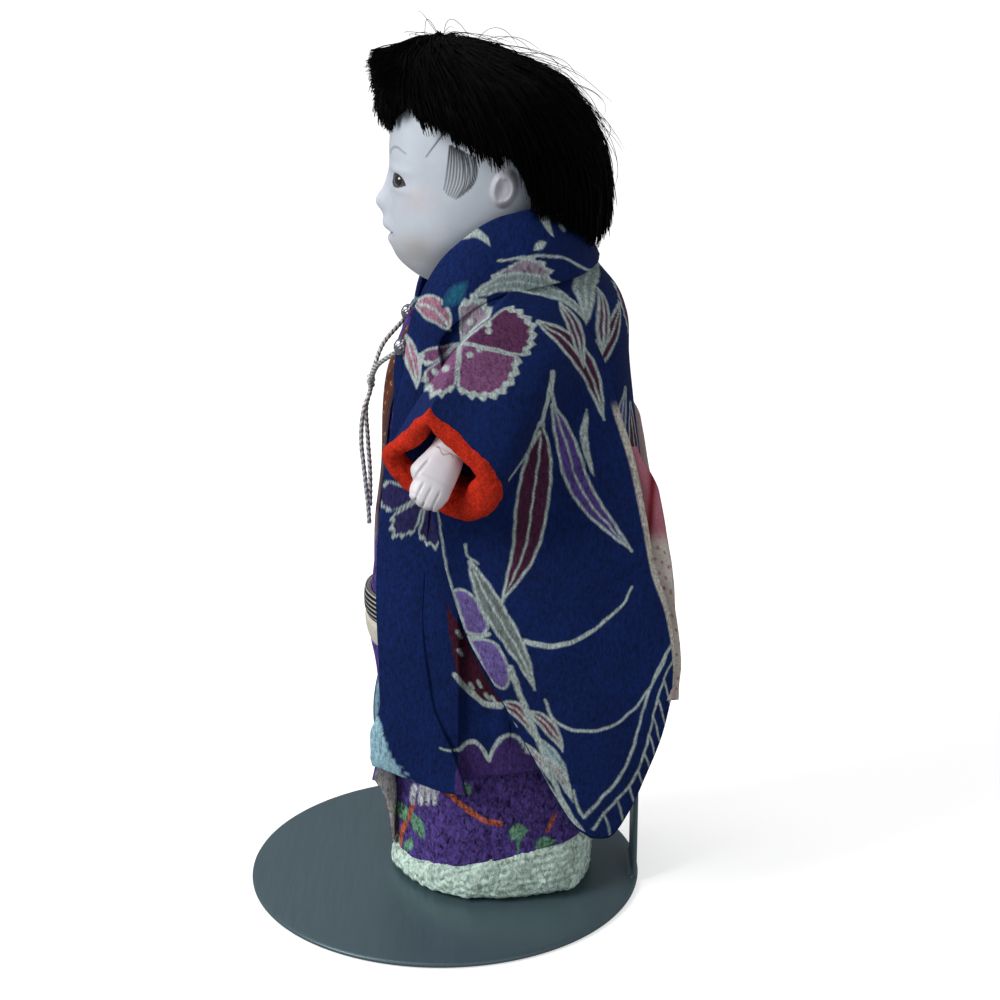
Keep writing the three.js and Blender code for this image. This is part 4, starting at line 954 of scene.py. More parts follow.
def limb_piece(name, stations, centre, look, body, slot, nodes, colours=None):
    """Upright limb from heights and radii, round an axis."""
    z, radius = np.array(stations, float).T
    fine = np.linspace(z[-1], z[0], 40)
    reach = curve(np.column_stack([z, radius]), fine)[:, 0]
    turn = turns(48)
    grid = np.stack([centre[0] + reach[:, None] * np.sin(turn), centre[1] - reach[:, None] * np.cos(turn),
                     fine[:, None] * np.ones_like(turn)], -1)
    grid = uneven(grid, 0.12, 5, 3, True)
    piece = tube_object(name, grid, look, colours)
    settle(piece, body, slot, *nodes)
    return piece


# Legs: height and radius along each
LEG_X = 8.6
LEG_WHITE = "#c9ccd9"
THIGH = [(56.4, 6), (62, 6.8), (76, 7.2), (88, 7), (94.6, 6.4)]
LOWER_LEG = [(1.6, 3.4), (4.5, 4.6), (12, 4.2), (29.5, 6), (45.5, 5.6), (56, 5.4)]
COTTON = "#d9d0bd"


def make_inner_body():
    """Torso, wadding, stuffed thighs and the lower legs under the robes."""
    frame["nodes"]["torso"].data.materials.clear()
    frame["nodes"]["torso"].data.materials.append(material("composition"))
    angle = turns(fit(160))[:-1]
    z = np.linspace(136, 97, fit(40))[:, None]
    grid = body_grid(z, angle, -0.2)
    grid = uneven(grid, 0.25, 6, 5, True)
    wadding = lined_object("wadding_cotton", grid, 2.6, "cotton", COTTON, COTTON, True)
    settle(wadding, "doll", "cotton_wadding", "wadding")
    for name, side in SIDES.items():
        thigh = limb_piece(f"thigh_{name}_stuffed", THIGH, (LEG_X * side, 0), "cotton", "doll",
                           "cotton_stuffed", [f"thigh_{name}"])
        limb_piece(f"lower_leg_{name}_white", LOWER_LEG, (LEG_X * side, 0), "shell_white", "doll",
                   "shell_white", [f"lower_leg_{name}"], LEG_WHITE)
        t = np.linspace(0, 1, 30)[:, None]
        turn = turns(40)
        wide = 5 * np.sin(np.pi * (0.16 + 0.68 * t)) ** 0.6
        tall = 4 + (1.7 - 4) * t ** 0.8
        foot = np.stack([LEG_X * side + wide * np.cos(turn), 6 - 21 * t + 0 * turn,
                         FOOT_Z + tall + tall * np.sin(turn)], -1)
        toes = 0.35 * smooth(t, 0.8, 0.95) * (np.sin(turn) > 0) * np.abs(np.sin(5 * turn))
        foot[..., 2] -= toes
        piece = tube_object(f"foot_{name}_white", foot, "shell_white", LEG_WHITE)
        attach(piece, "doll")


def make_under_robe():
    """Red under-robe, which shows as a line at the neck."""
    angle = turns(180)
    share = np.linspace(0, 1, fit(120))[:, None]
    top = neck_height(angle, 0.9, -1)
    grid = body_grid(top * (1 - share) + (HEM_TOP + 0.2) * share, angle, 0.9, 0.6)
    robe = lined_object("under_robe_lining", grid, 0.5, "robe_silk", UNDER_RED, UNDER_RED, True)
    settle(robe, "doll", "under_robe_silk", "under_robe")


# Kimono: deepness of its folds, its front overlap, and its collar's edges as (width, height) on the chest and
# points from there to the nape
KIMONO_FOLD = 0.6
FLAP_LEFT = -13
FLAP_WIDE = 25
FLAP_TOP = 65.4
FLAP_LOW = 7.4
FLAP_CORNER = 24
KIMONO_COLLAR_INNER = (
    [(-13, 77.5), (-9.5, 97), (-5.5, 113), (-1, 125.5), (3.5, 135), (7.4, 142.4), (10.5, 148.5)],
    [(14.6, -10.6, 156.4), (17.2, -4, 161.2), (15.6, 5, 165), (9, 12.8, 167.4), (0, 15.4, 168)],
)
KIMONO_COLLAR_OUTER = (
    [(-6.5, 77), (-2.5, 95), (1, 108.5), (4.6, 119.5), (8.6, 129), (12.4, 137.3), (15.5, 144), (18.4, 149)],
    [(20.5, -6, 155), (19.1, 6, 158.6), (12.4, 14.4, 161), (0, 18.2, 161.5)],
)
BROCADE_STEP = 22


def hem_line(angle, level, slope, offset, ease=0.0):
    """Height of a layer's lower edge, which rises towards the back."""
    return level + slope * body_grid(np.full(np.shape(angle), float(level)), angle, offset, 0, ease)[..., 1]


def kimono_robe(angle, edge):
    """Purple robe with its side seams."""
    share = np.linspace(0, 1, fit(60))[:-1, None]
    top = neck_height(angle, KIMONO_OUT, 0)
    upper = top * (1 - share) + KIMONO_FINE * share
    share = np.linspace(0, 1, cloth_count(KIMONO_FINE - HEM_TOP, KIMONO_STEP))[:, None]
    lower = KIMONO_FINE * (1 - share) + edge * share
    grid = body_grid(np.concatenate([upper, lower]), angle, KIMONO_OUT, KIMONO_FOLD)
    seam = bell(np.degrees(angle), 84, 1.1) + bell(np.degrees(angle), 276, 1.1)
    grid = grid - 0.5 * seam[:, None] * normals(grid, True)
    grid = uneven(grid, 0.22, 9, 11, True)
    cloth = Print(*picture(np.concatenate([np.abs(grid[..., :1]), grid[..., 1:]], axis=-1)), PURPLE)
    print_kimono(cloth)
    robe = lined_object("kimono_robe_crepe", grid, 0.9, "kimono_crepe", cloth.colour,
                        "#8a3a52", True)
    settle(robe, "doll", "kimono_crepe", "kimono_robe")


def kimono_hem(angle, edge):
    """Padded roll under the robe's edge, rounded in to the floor."""
    share = np.linspace(0, 1, cloth_count(24, 0.34))[:, None]
    z = FOOT_Z + (edge + 0.4 - FOOT_Z) * (1 - share)
    swell = 1.8 * np.sin(np.pi * (0.9 - 0.7 * share)) - 2.2 * smooth(share, 0.82, 1) ** 2
    swell = swell - 0.9 * smooth(share, 0.1, 0)
    grid = body_grid(z, angle, KIMONO_OUT + swell, KIMONO_FOLD)
    grid = grid + (0.16 * ripple(grid, 1.5, 21) + 0.3 * ripple(grid, 8, 22))[..., None] * normals(grid, True)
    roll = lined_object("hem_roll_padded", grid, 2.2, "hem_crepe", HEM_GREEN, HEM_GREEN, True)
    settle(roll, "doll", "hem_roll_silk", "kimono_hem_roll")


def kimono_flap():
    """Front overlap, whose lower corner turns out and shows its cream lining."""
    share = np.linspace(0, 1, cloth_count(60, 0.5))[:, None]
    across = np.linspace(0, 1, cloth_count(30, 0.45))[None]
    z = FLAP_TOP * (1 - share) + (FLAP_LOW + FLAP_CORNER * smooth(across, 0.5, 0.95)) * share
    x = FLAP_LEFT + FLAP_WIDE * across + 0 * z
    curl = smooth(across, 0.55, 1) ** 1.5 * (1 - smooth(z, 28, 52))
    y = front_y(KIMONO_OUT + 1.0 + 1.6 * (1 - smooth(z, 12, 24)), x, z) - 9 * curl
    grid = uneven(np.stack([x + 1.5 * curl, y, z], -1), 0.3, 9, 31)
    cloth = Print(385 + (x - FLAP_LEFT) * 4.3, picture(grid)[1], PURPLE)
    print_kimono(cloth)
    # Painted light: the turned-out corner's lining is near white, lighter than the cream used elsewhere
    flap = lined_object("kimono_front_crepe", grid, 0.9, "hem_crepe", cloth.colour, "#fbf7ea")
    settle(flap, "doll", "kimono_crepe", "kimono_front_flap")


def kimono_collar():
    """Brocade band, crossed over the chest down to the sash."""
    edges = []
    for chest, nape in (KIMONO_COLLAR_INNER, KIMONO_COLLAR_OUTER):
        edges.append([(x, front_y(3.5, x, z) - 0.5, z) for x, z in chest] + nape)
    grid = collar_grid(*edges, 0.5, 420, 24, 0.55)
    cloth = Print(grid[..., 0] * 8 + 40, grid[..., 2] * 8, "#6b3a2f")
    for u in range(-200, 260, BROCADE_STEP):
        for v in range(594, 1380, BROCADE_STEP):
            row = v // BROCADE_STEP % 2
            cloth.petal((u + 11 * row, v), (0, 360), (7, 7), "#b58a4a", 6, 2, (), "#d6b878")
    band = lined_object("kimono_collar_brocade", grid, 0.8, "sash_silk", cloth.colour, CREAM)
    settle(band, "doll", "collar_brocade", "kimono_collar")


def make_kimono():
    """Purple robe, its overlapping front, padded hem and crossed collar."""
    angle = turns(384)
    edge = hem_line(angle, HEM_TOP, KIMONO_SLOPE, KIMONO_OUT)
    kimono_robe(angle, edge)
    kimono_hem(angle, edge)
    kimono_flap()
    kimono_collar()


def collar_grid(upper, lower, bulge, along, across, tuck):
    """Band from the left front round the nape to the right front; its right end tucks under the left."""
    edges = [through(points, along // 2 + 1) for points in (upper, lower)]
    whole = []
    for edge in edges:
        other = edge[-2::-1] * (-1, 1, 1)
        under = tuck * smooth(-edge[-2::-1, 1], 14, 24) * (1 + 4 * smooth(other[:, 0], -3, 1))
        other[:, 1] += under
        whole.append(np.concatenate([edge, other]))
    count = fit(across)
    w = np.linspace(0, 1, count)[:, None, None]
    long = fit(len(whole[0]))
    top, bottom = (spline_even(edge, long) for edge in whole)
    grid = (1 - w) * top[None] + w * bottom[None]
    return grid + (bulge * 4 * w * (1 - w)) * normals(grid)


def spline_even(points, count):
    """Same run of points, with another number of them."""
    old = np.linspace(0, 1, len(points))
    new = np.linspace(0, 1, count)
    return np.column_stack([np.interp(new, old, points[:, k]) for k in range(3)])


# Sash: number of points round it; half width of its knot and the knot's distance out from the figure
SASH_POINTS = 360
BOW_HALF = 11
BOW_OUT = 5.4


def make_sash():
    """Low narrow sash with its flat knot under the haori."""
    angle = turns(SASH_POINTS)
    share = np.linspace(0, 1, fit(46))[:, None]
    z = OBI_TOP - (OBI_TOP - OBI_LOW) * share + 0 * angle
    fold = 0.45 * bell(share, 0.52, 0.06)
    grid = body_grid(z, angle, OBI_OUT - 0.3 - 0.5 * (2 * share - 1) ** 6 - fold)
    grid = uneven(grid, 0.15, 12, 41, True)
    rib = (np.sin(share * 70) > 0.55) & (share < 0.5)
    colours = np.where((share > 0.53)[..., None], linear(CREAM), linear("#131316"))
    colours = np.where(rib[..., None], linear("#d4d2cc"), colours) * np.ones((1, SASH_POINTS, 1))
    sash = lined_object("sash_ribbed", grid, 1.4, "sash_silk", colours, CREAM, True)
    settle(sash, "doll", "sash_silk", "obi")

    up = np.linspace(1, 0, fit(50))[:, None]
    x = np.linspace(BOW_HALF, -BOW_HALF, fit(70))[None]
    depth = 4.3 * (1 - 0.4 * (x / BOW_HALF) ** 2) * (4 * up * (1 - up)) ** 0.35
    depth = depth - 0.8 * bell(x, 0, 2.4) + 0.25 * np.sin(x * 2.1)
    waist = 1 - 0.3 * np.cos(x / BOW_HALF * math.pi / 2)
    z = OBI_LOW + 17 * (0.45 + (up - 0.5) * waist)
    width, _, back = curve(FIGURE, np.array((OBI_LOW + OBI_TOP) / 2))
    aside = np.abs(x) / (width + BOW_OUT)
    seat = (back + BOW_OUT) * (1 - aside ** (2 / BACK_ROUND)) ** (BACK_ROUND / 2)
    grid = np.stack([x + 0 * up, seat + depth, z], -1)
    knot = lined_object("sash_knot_tied", grid, 1.2, "sash_silk", "#1a1a20", CREAM)
    settle(knot, "doll", "sash_silk", "obi_knot")


def haori_print(grid, side=1):
    """Colours of the haori's front, gusset and collar, as seen from one side."""
    cloth = Print(*picture(grid, side), NAVY)
    print_body(cloth)
    return cloth.colour


def sweep(z):
    """Share by which the front corner near the hem is drawn aside."""
    return 1 - smooth(z, 34, 60)


# Height, and how far the fronts stand forward of the body at their free edges
FLARE = [
    (30, 5), (46, 5), (57, 2.2), (73, 0.7), (87, 1.5), (97, 2.3), (111, 2.5), (131, 2.2), (144, 3.2),
    (150, 1.6), (156, 0),
]


FLARE_END = 26.6
FLARE_WIDE = 9


def flare_front(grid):
    """Move the fronts forward towards their free edges; the left one is drawn aside near its hem."""
    x, z = grid[..., 0], grid[..., 2]
    share = np.clip((FLARE_END - np.abs(x)) / FLARE_WIDE, 0, 1) ** 1.5 * (grid[..., 1] < 0)
    amount = curve(FLARE, z)[..., 0]
    grid[..., 1] -= np.where(x > 0, amount * (1 - 0.9 * sweep(z)), amount + 3 * sweep(z)) * share
    grid[..., 0] += np.where(x > 0, 0, 9 * sweep(z) * share)


# Lining that shows where the left collar band peels open near the hem, in picture pixels
TURNED_CORNER = [(380, 716), (391, 752), (413, 787), (395, 806), (364, 790), (350, 745), (362, 716)]


# Haori collar: height and shift of its front edge, then the points of its two edges round the neck
COLLAR_RISE = [(46, 0), (58, 0), (77, 0), (103, 0.4), (126, 1.6), (140, 3)]
COLLAR_UPPER = [
    (20, -19.5, 153), (21.2, -14.2, 163.8), (22.1, -7, 170.6), (22.4, -1.9, 173.8), (22.2, 2.5, 175.2),
    (20.9, 6.5, 175.8), (17.2, 10.6, 174.4), (9.8, 15.2, 170.9), (0, 16.8, 169.4),
]
COLLAR_LOWER = [
    (24.6, -13.8, 146), (25, -7.5, 153), (24.7, -1.5, 156.2), (23.8, 6, 158), (20, 16.5, 160),
    (11, 21.8, 161.4), (0, 23.2, 161.6),
]


def haori_back():
    """Back panel, whose sides carry the print of the shoulders."""
    angle = np.radians(np.linspace(91.4, 268.6, cloth_count(96, 0.46)))
    share = np.linspace(0, 1, cloth_count(132, 0.46))[:, None]
    top = neck_height(angle, HAORI_OUT, -2)
    hem = hem_line(angle, HAORI_HEM, HEM_SLOPE, HAORI_OUT, BACK_EASE)
    grid = body_grid(top * (1 - share) + hem * share, angle, HAORI_OUT, 0.9, BACK_EASE)
    grid = grid + 0.35 * normals(grid) * (ripple(grid, 22, 51) * smooth(share, 0, 0.3))[..., None]
    cloth = Print(500 + grid[..., 0] * 4.3, 900 - grid[..., 2] * 4.2, NAVY)
    print_back(cloth)
    sides = np.abs(grid[..., 0]).ravel() > 21
    cloth.colour[sides] = haori_print(grid)[sides]
    back = lined_object("haori_back_crepe", grid, 0.8, "haori_crepe", cloth.colour, LINING)
    settle(back, "doll", "haori_crepe", "haori_back")


def haori_front(name, side):
    """Front panel that stands proud of its side gusset."""
    share = np.linspace(0, 1, cloth_count(118, 0.36))[:, None]
    across = np.linspace(0, 1, cloth_count(42, 0.36))[None]
    swept = 3 if side > 0 else 0
    z = np.full(across.shape, 100.0)
    for _ in range(4):
        width = curve(FIGURE, z)[..., 0] + HAORI_OUT
        start = np.arcsin(np.clip((OPENING_X + swept * sweep(z)) / width, 0, 0.97))
        angle = start + (math.radians(92.4) - start) * across
        top = neck_height(angle, HAORI_OUT, -2)
        z = top * (1 - share) + hem_line(angle, HAORI_HEM, HEM_SLOPE, HAORI_OUT) * share
    grid = body_grid(z, angle, HAORI_OUT, 0.7)
    y, z = grid[..., 1], grid[..., 2]
    step = smooth(y, GUSSET_Y + 0.5, GUSSET_Y - 0.5)
    proud = smooth(128 - z, 0, 12) * (1.1 * step - 0.9 * (1 - step) * smooth(SEAM_Y - y, 0, 4))
    grid = grid + proud[..., None] * normals(grid)
    grid = for_side(uneven(grid, 0.3, 18, 61 + side), side)
    flare_front(grid)
    front = lined_object(f"haori_front_{name}_crepe", grid, 0.8, "haori_crepe",
                         haori_print(grid, side), AQUA)
    settle(front, "doll", "haori_crepe", f"haori_front_{name}")


def haori_collar():
    """Long band that stands up round the nape; near the hem its left end peels open."""
    rise = [(HAORI_HEM - HEM_SLOPE * 29.4, 0)] + COLLAR_RISE
    upper, lower = [], []
    for z, shift in rise:
        x = OPENING_X + shift
        upper.append((x, front_y(8.2, x, np.array(z)), z))
        x = OPENING_X + BAND_X + 0.3 * shift
        lower.append((x, front_y(7.8, x, np.array(z - shift)), z - shift))
    grid = collar_grid(upper + COLLAR_UPPER, lower + COLLAR_LOWER, 0.9, 960, 44, 0)
    low = sweep(grid[..., 2])
    left = grid[..., 0] > 0
    inner_edge = smooth(0.6 - np.linspace(0, 1, grid.shape[0])[:, None], 0, 0.45)
    peel = inner_edge * smooth(58 - grid[..., 2], 0, 12)
    grid[..., 0] += np.where(left, 3 * low * (1 - peel), 0)
    grid[..., 1] += np.where(left, low * (3.6 - 10.2 * peel), 0)
    grid[..., 2] += np.where(left, 3.5 * peel * smooth(42 - grid[..., 2], 0, 8), 0)
    flare_front(grid)
    cloth = Print(*picture(grid), NAVY)
    print_body(cloth)
    cloth.patch(TURNED_CORNER, AQUA)
    cloth.stroke(TURNED_CORNER[:3], 3, 3, NAVY)
    colours = np.where((grid[..., :1] > 0).reshape(-1, 1), cloth.colour, haori_print(grid, -1))
    turned = (smooth(62 - grid[..., 2], 0, 6) * (grid[..., 0] < 4))[..., None]
    band = lined_object("haori_collar_crepe", grid, 1.3, "haori_crepe", colours,
                        mix(linear(NAVY), AQUA, turned))
    stand_for(band, "haori_crepe", "haori_collar")
    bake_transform(band)


def make_haori_body():
    """Back, two fronts with their side gussets, and the long collar band."""
    haori_back()
    for name, side in SIDES.items():
        haori_front(name, side)
    haori_collar()


# Sleeve: edges of its outer and inner panels
CUFF = {
    "top": (49, -15.7, 136.8), "right": (51.6, -1, 121.9), "low_right": (48.4, -2, 114.2),
    "bottom": (44.8, -7.6, 111), "low_left": (40.2, -16, 112.6), "left_low": (38.4, -22.6, 117.3),
    "left": (38.6, -26.5, 123.9), "upper_left": (43.75, -21, 130.4),
}
CUFF_NORMAL = np.array((0.84, -0.45, -0.3)) / np.linalg.norm((0.84, -0.45, -0.3))
RIDGE = [(24, 3, 158.6), (32.5, -1, 156), (41.5, -8.6, 148.5), CUFF["top"]]
SLEEVE_SEAM = [CUFF["low_left"], (39, -14.7, 106), (36.5, -13.1, 96), (34.5, -7.8, 77.5),
               (33.6, -1.8, 65.6),
               (33, 2.2, 57.1), (32.4, 8.9, 43.6), (32, 13.3, 35), (31.7, 17.4, 28.2), (31.5, 21.6, 24.8)]
OUTER_REAR = [RIDGE[0], (23.4, 13, 155.5), (22.4, 19.4, 149), (22.2, 24, 140), (25.5, 26.8, 131),
              (31, 30.2, 121),
              (35, 33, 108), (36.4, 35.3, 96), (37, 38.4, 87), (36.6, 40.4, 74), (35.5, 40.2, 65.4)]
INNER_REAR = [RIDGE[0], (25.3, -4.5, 152.5), (25.6, -8.6, 145), (26.3, -7.6, 137), (27, 0.5, 130),
              (27.2, 12, 126),
              (27.5, 22, 121), (27.9, 30, 114), (28.3, 33.4, 102), (29, 37, 88), (31.4, 39.8, 73),
              OUTER_REAR[-1]]
BOTTOM = [OUTER_REAR[-1], (34.6, 37.8, 53), (33.6, 34.5, 42.8), (32.6, 30.4, 32), (31.9, 26, 25.2),
          SLEEVE_SEAM[-1]]
OUTER_CUFF = [CUFF[name] for name in ("top", "right", "low_right", "bottom", "low_left")]
INNER_CUFF = [CUFF[name] for name in ("top", "upper_left", "left", "left_low", "low_left")]


# Pixels by which the right sleeve's print lies lower than the left one's
RIGHT_DROP = 26


def sharp_join(parts, counts):
    """Curves one after another, each smooth in itself."""
    runs = [spline(points, count) for points, count in zip(parts, counts)]
    return np.concatenate([runs[0]] + [run[1:] for run in runs[1:]])


def sleeve_panel(rear, cuff, spacing, bulge):
    """Panel of the sleeve: rows from the ridge to the bottom fold, columns from the rear to the front."""
    rows = cloth_count(150, spacing)
    columns = cloth_count(60, spacing)
    cuff_rows = int(rows * 0.3)
    front = sharp_join([cuff, SLEEVE_SEAM], [cuff_rows, rows - cuff_rows + 1])
    back = spline(rear, rows)
    grid = coons(spline(RIDGE, columns), spline(BOTTOM, columns), back, front)
    s = np.linspace(0, 1, columns)[None]
    h = np.linspace(0, 1, rows)[:, None]
    belly = np.sin(np.pi * s) ** 0.8 * np.sin(np.pi * np.clip(h, 0, 1)) ** 0.7
    grid[..., 0] += bulge * belly
    return grid, s, h


def sleeve_lining(panel, front, h):
    """Thickness and lining colours of a sleeve panel, which is thin and navy along its seams."""
    seam = np.maximum(smooth(front, 0.84, 0.96), np.maximum(smooth(h, 0.9, 0.98),
    smooth(0.06 - h, 0, 0.04)))
    dark = np.maximum(seam, smooth(panel[..., 2], 88, 96) * smooth(front, 0.3, 0.5))
    return 0.8 - 0.72 * seam, mix(linear(LINING), NAVY, dark[..., None])


def make_sleeves():
    """Hanging sleeves: an outer and an inner panel, open along the rear edge."""
    for name, side in SIDES.items():
        grid, s, h = sleeve_panel(OUTER_REAR, OUTER_CUFF, 0.36, 3.6)
        middle = np.sin(np.pi * s) * np.sin(np.pi * h)
        arm_fold = bell(h, 0.34 + 0.25 * (1 - s), 0.05) * smooth(s, 0.25, 0.6) * smooth(1 - s, 0, 0.15)
        hang_fold = np.sin(9 * s + 3 * h) * smooth(h, 0.4, 0.7) * middle
        grid[..., 0] += 0.5 * hang_fold - 1.1 * arm_fold + 0.3 * ripple(grid, 16, 71) * middle
        panel = for_side(grid[:, ::-1], side)
        rear = np.broadcast_to(s[:, ::-1] if side > 0 else s, panel.shape[:2])
        u, v = picture(panel, side)
        cloth = Print(u, v if side > 0 else v - RIGHT_DROP, NAVY)
        print_sleeve(cloth)
        strip = smooth(0.036 - rear, -0.004, 0.004) * smooth(133 - panel[..., 2], 0, 3)
        cloth.lay(strip.ravel(), LINING)
        wall, lining = sleeve_lining(panel, rear, h)
        outer = lined_object(f"sleeve_{name}_outer", panel, wall, "haori_crepe", cloth.colour,
                             lining)
        stand_for(outer, "haori_crepe", f"haori_sleeve_{name}")
        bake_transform(outer)

        grid, s, h = sleeve_panel(INNER_REAR, INNER_CUFF, 0.6, 0.8)
        panel = for_side(grid, side)
        cloth = Print(*picture(panel, side), NAVY)
        print_shoulder(cloth)
        front = np.broadcast_to(s if side > 0 else s[:, ::-1], panel.shape[:2])
        wall, lining = sleeve_lining(panel, front, h)
        inner = lined_object(f"sleeve_{name}_inner", panel, wall, "haori_crepe", cloth.colour,
                             lining)
        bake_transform(inner)


def facing(grid, way):
    """Grid with its columns turned round where its faces would look away from the given way."""
    return grid if (normals(grid) @ np.asarray(way)).mean() > 0 else grid[:, ::-1]


# Section of the rolled cuff: distance out of the sleeve's mouth, distance in from its edge
CUFF_ROLL = [
    (-0.6, -0.5), (0.5, -0.2), (1.3, 0.6), (1.6, 1.6), (1.4, 2.8), (0.4, 3.8), (-2, 4.1), (-4, 4.1),
    (-6.5, 4),
]
CUFF_BROAD = (49.8, -3.5, 115.5)
# Colour of the painted shade where the cuff runs in past the sleeve's mouth
CUFF_PAINTED_SHADE = "#5a0603"


def make_cuffs():
    """Scarlet lining that rolls out round each sleeve mouth."""
    loop = np.concatenate([spline(OUTER_CUFF, 97)[:-1], spline(INNER_CUFF, 97)[:0:-1]])
    centre = loop.mean(axis=0)
    inwards = centre - loop
    inwards -= (inwards @ CUFF_NORMAL)[:, None] * CUFF_NORMAL
    inwards /= np.linalg.norm(inwards, axis=1, keepdims=True)

    def near(spot, reach):
        return bell(np.linalg.norm(loop - spot, axis=1), 0, reach)[:, None]

    # The roll is broad at the mouth's rear; along the inner panel it is shorter and drawn in
    roll = spline(CUFF_ROLL, fit(60))
    out, deep = roll[:, :1, None], roll[:, 1:, None]
    out = np.where(out < 0, out * (1 - 0.6 * near(CUFF["left"], 9)), out)
    deep = deep * (1 + 0.9 * near(CUFF_BROAD, 6.5) * (deep > 0))
    deep = deep + np.maximum(-out - 0.4, 0) * near(CUFF["low_left"], 10)
    rolled = loop + out * CUFF_NORMAL + deep * inwards
    for name, side in SIDES.items():
        wave = 0.25 * ripple(rolled, 7, 81 + side) + 0.1 * ripple(rolled, 2.2, 82)
        grid = facing(rolled, CUFF_NORMAL)
        grid = for_side(grid + wave[..., None] * normals(grid, True), side)
        # Painted shade: the scarlet darkens as the lining runs in past the sleeve's mouth
        dark = smooth(-(grid * (side, 1, 1) - centre) @ CUFF_NORMAL, 0.5, 5)[..., None]
        colours = mix(linear(RED), CUFF_PAINTED_SHADE, dark)
        cuff = lined_object(f"cuff_{name}_scarlet", grid, 0.6, "cuff_crepe", colours, RED, True)
        settle(cuff, f"arm_{name}", "cuff_crepe", f"cuff_lining_{name}")


UNDER_SLEEVE = (123, 63)


def make_under_sleeves():
    """Sleeves of the under-robe that show along the open rear edge."""
    outer, inner = (spline(edge, 200)[::-1] for edge in (OUTER_REAR, INNER_REAR))
    sections = []
    for z in np.linspace(*UNDER_SLEEVE, fit(150)):
        (far_x, far_y), (near_x, near_y) = (
            [np.interp(z, edge[:, 2], edge[:, axis]) for axis in (0, 1)] for edge in (outer, inner))
        peek = 1.3 + 2.7 * smooth(z, 84, 98) * smooth(UNDER_SLEEVE[0] - z, 0, 10)
        gap = far_x - near_x
        sections.append(spline([
            (near_x + 0.3 * gap, near_y + peek * 0.4, z), (near_x + 0.3 * gap, near_y - 6, z),
            (near_x + 0.4 * gap + 0.6, 15, z), (near_x + 0.6 * gap + 1.4, 15, z),
            (far_x - 0.3 * gap + 1.2, far_y - 6, z), (far_x - 0.24 * gap, far_y + peek, z)], fit(110)))
    sleeve = uneven(facing(np.array(sections)[:, ::-1], (1, 0, 0)), 0.25, 8, 91)
    for name, side in SIDES.items():
        grid = for_side(sleeve, side)
        y, z = grid[..., 1], grid[..., 2]
        upper = smooth(z, 100, 105)[..., None]
        streak = bell(y, 33.5 + 0.06 * (z - 100), 0.9)[..., None] * (0.4 + 0.6 * upper)
        spots = (np.sin(y * 2.3 + z * 0.7) * np.sin(z * 1.5 - y) > 0.72)[..., None]
        colours = mix(linear("#cfc6bd"), "#b5707f", upper)
        colours = mix(colours, "#a53032", spots * (1 - upper) * 0.8)
        colours = mix(colours, "#7a1220", streak)
        piece = lined_object(f"under_sleeve_{name}_silk", grid, 0.4, "robe_silk", colours,
                             "#c9b3b0")
        settle(piece, f"arm_{name}", "under_robe_silk", f"under_sleeve_{name}")


# Hand: distance along the arm, half width towards the thumb, half width away, half thickness, sideways shift
HAND_ROWS = [
    (16.4, 5, 5, 5, 0), (22, 4.6, 4.6, 4.6, 0), (26, 4.1, 4.1, 4, 0), (28, 4, 4, 3.7, 0),
    (30.5, 4.6, 4.3, 3.6, -0.2), (33.5, 5.6, 4.5, 3.4, -0.4), (35.6, 5.9, 4.5, 3.1, -0.6),
    (36.6, 5.2, 4.5, 3, -0.7), (37.3, 4.5, 4.5, 2.9, -0.8), (38.6, 4.4, 4.2, 2.6, -0.9),
    (40.2, 3.9, 3.6, 2.2, -1), (41.4, 2.7, 2.5, 1.5, -1.1), (41.9, 0.6, 0.6, 0.5, -1.1),
]
HAND_ACROSS = np.array((-0.155, -0.867, 0.476))
HAND_BACK = np.array((0.88, 0.099, 0.466))
FINGER_GAPS = (-2.1, 0, 2)
ELBOW = 15.8
UPPER_ARM_RADIUS = 4.9


def hand_grid():
    """White forearm with a mitten hand whose fingers are parted by grooves, and its colours."""
    run = np.linspace(HAND_ROWS[0][0], HAND_ROWS[-1][0], 190)
    thumb_half, other_half, thick, shift = np.moveaxis(curve(HAND_ROWS, run), -1, 0)[..., None]
    turn = turns(140)[None]
    across = np.where(np.cos(turn) > 0, thumb_half, other_half) * bent(np.cos(turn), 0.85)
    up = thick * bent(np.sin(turn), 0.9)
    run = run[:, None] + 0 * turn
    fingers = sum(bell(across, at, 0.28) for at in FINGER_GAPS) * smooth(run, 36.6, 38.2)
    cleft = bell(across, 3.5 + 0.25 * (run - 34), 0.3) * smooth(run, 31.5, 33.5) * smooth(38 - run, 0, 1)
    knuckles = bell(run, 35.6 + 0.1 * across, 0.4) * (across < 3)
    wrist = bell(run, 28.6, 0.3)
    up = up * (1 - 0.1 * fingers - 0.12 * cleft - 0.03 * knuckles - 0.05 * wrist)
    tips = 0.5 * fingers * smooth(run, 40.4, 41.6)
    spot = ARM_ROOT + (run - tips)[..., None] * ARM_WAY + (across + shift)[..., None] * HAND_ACROSS
    # Painted shade: grey in the finger grooves and the thumb's cleft, and faintly over the knuckles
    shade = np.clip(0.35 * fingers + 0.5 * cleft + 0.08 * knuckles, 0, 1)[..., None]
    crack = bell(run, 29.4 + 0.5 * np.sin(2 * across), 0.13) * (np.abs(across - 0.6) < 2.2)
    colours = mix(linear(HAND_WHITE), "#8d8a90", shade)
    return spot + up[..., None] * HAND_BACK, mix(colours, "#5c5550", 0.8 * crack[..., None])


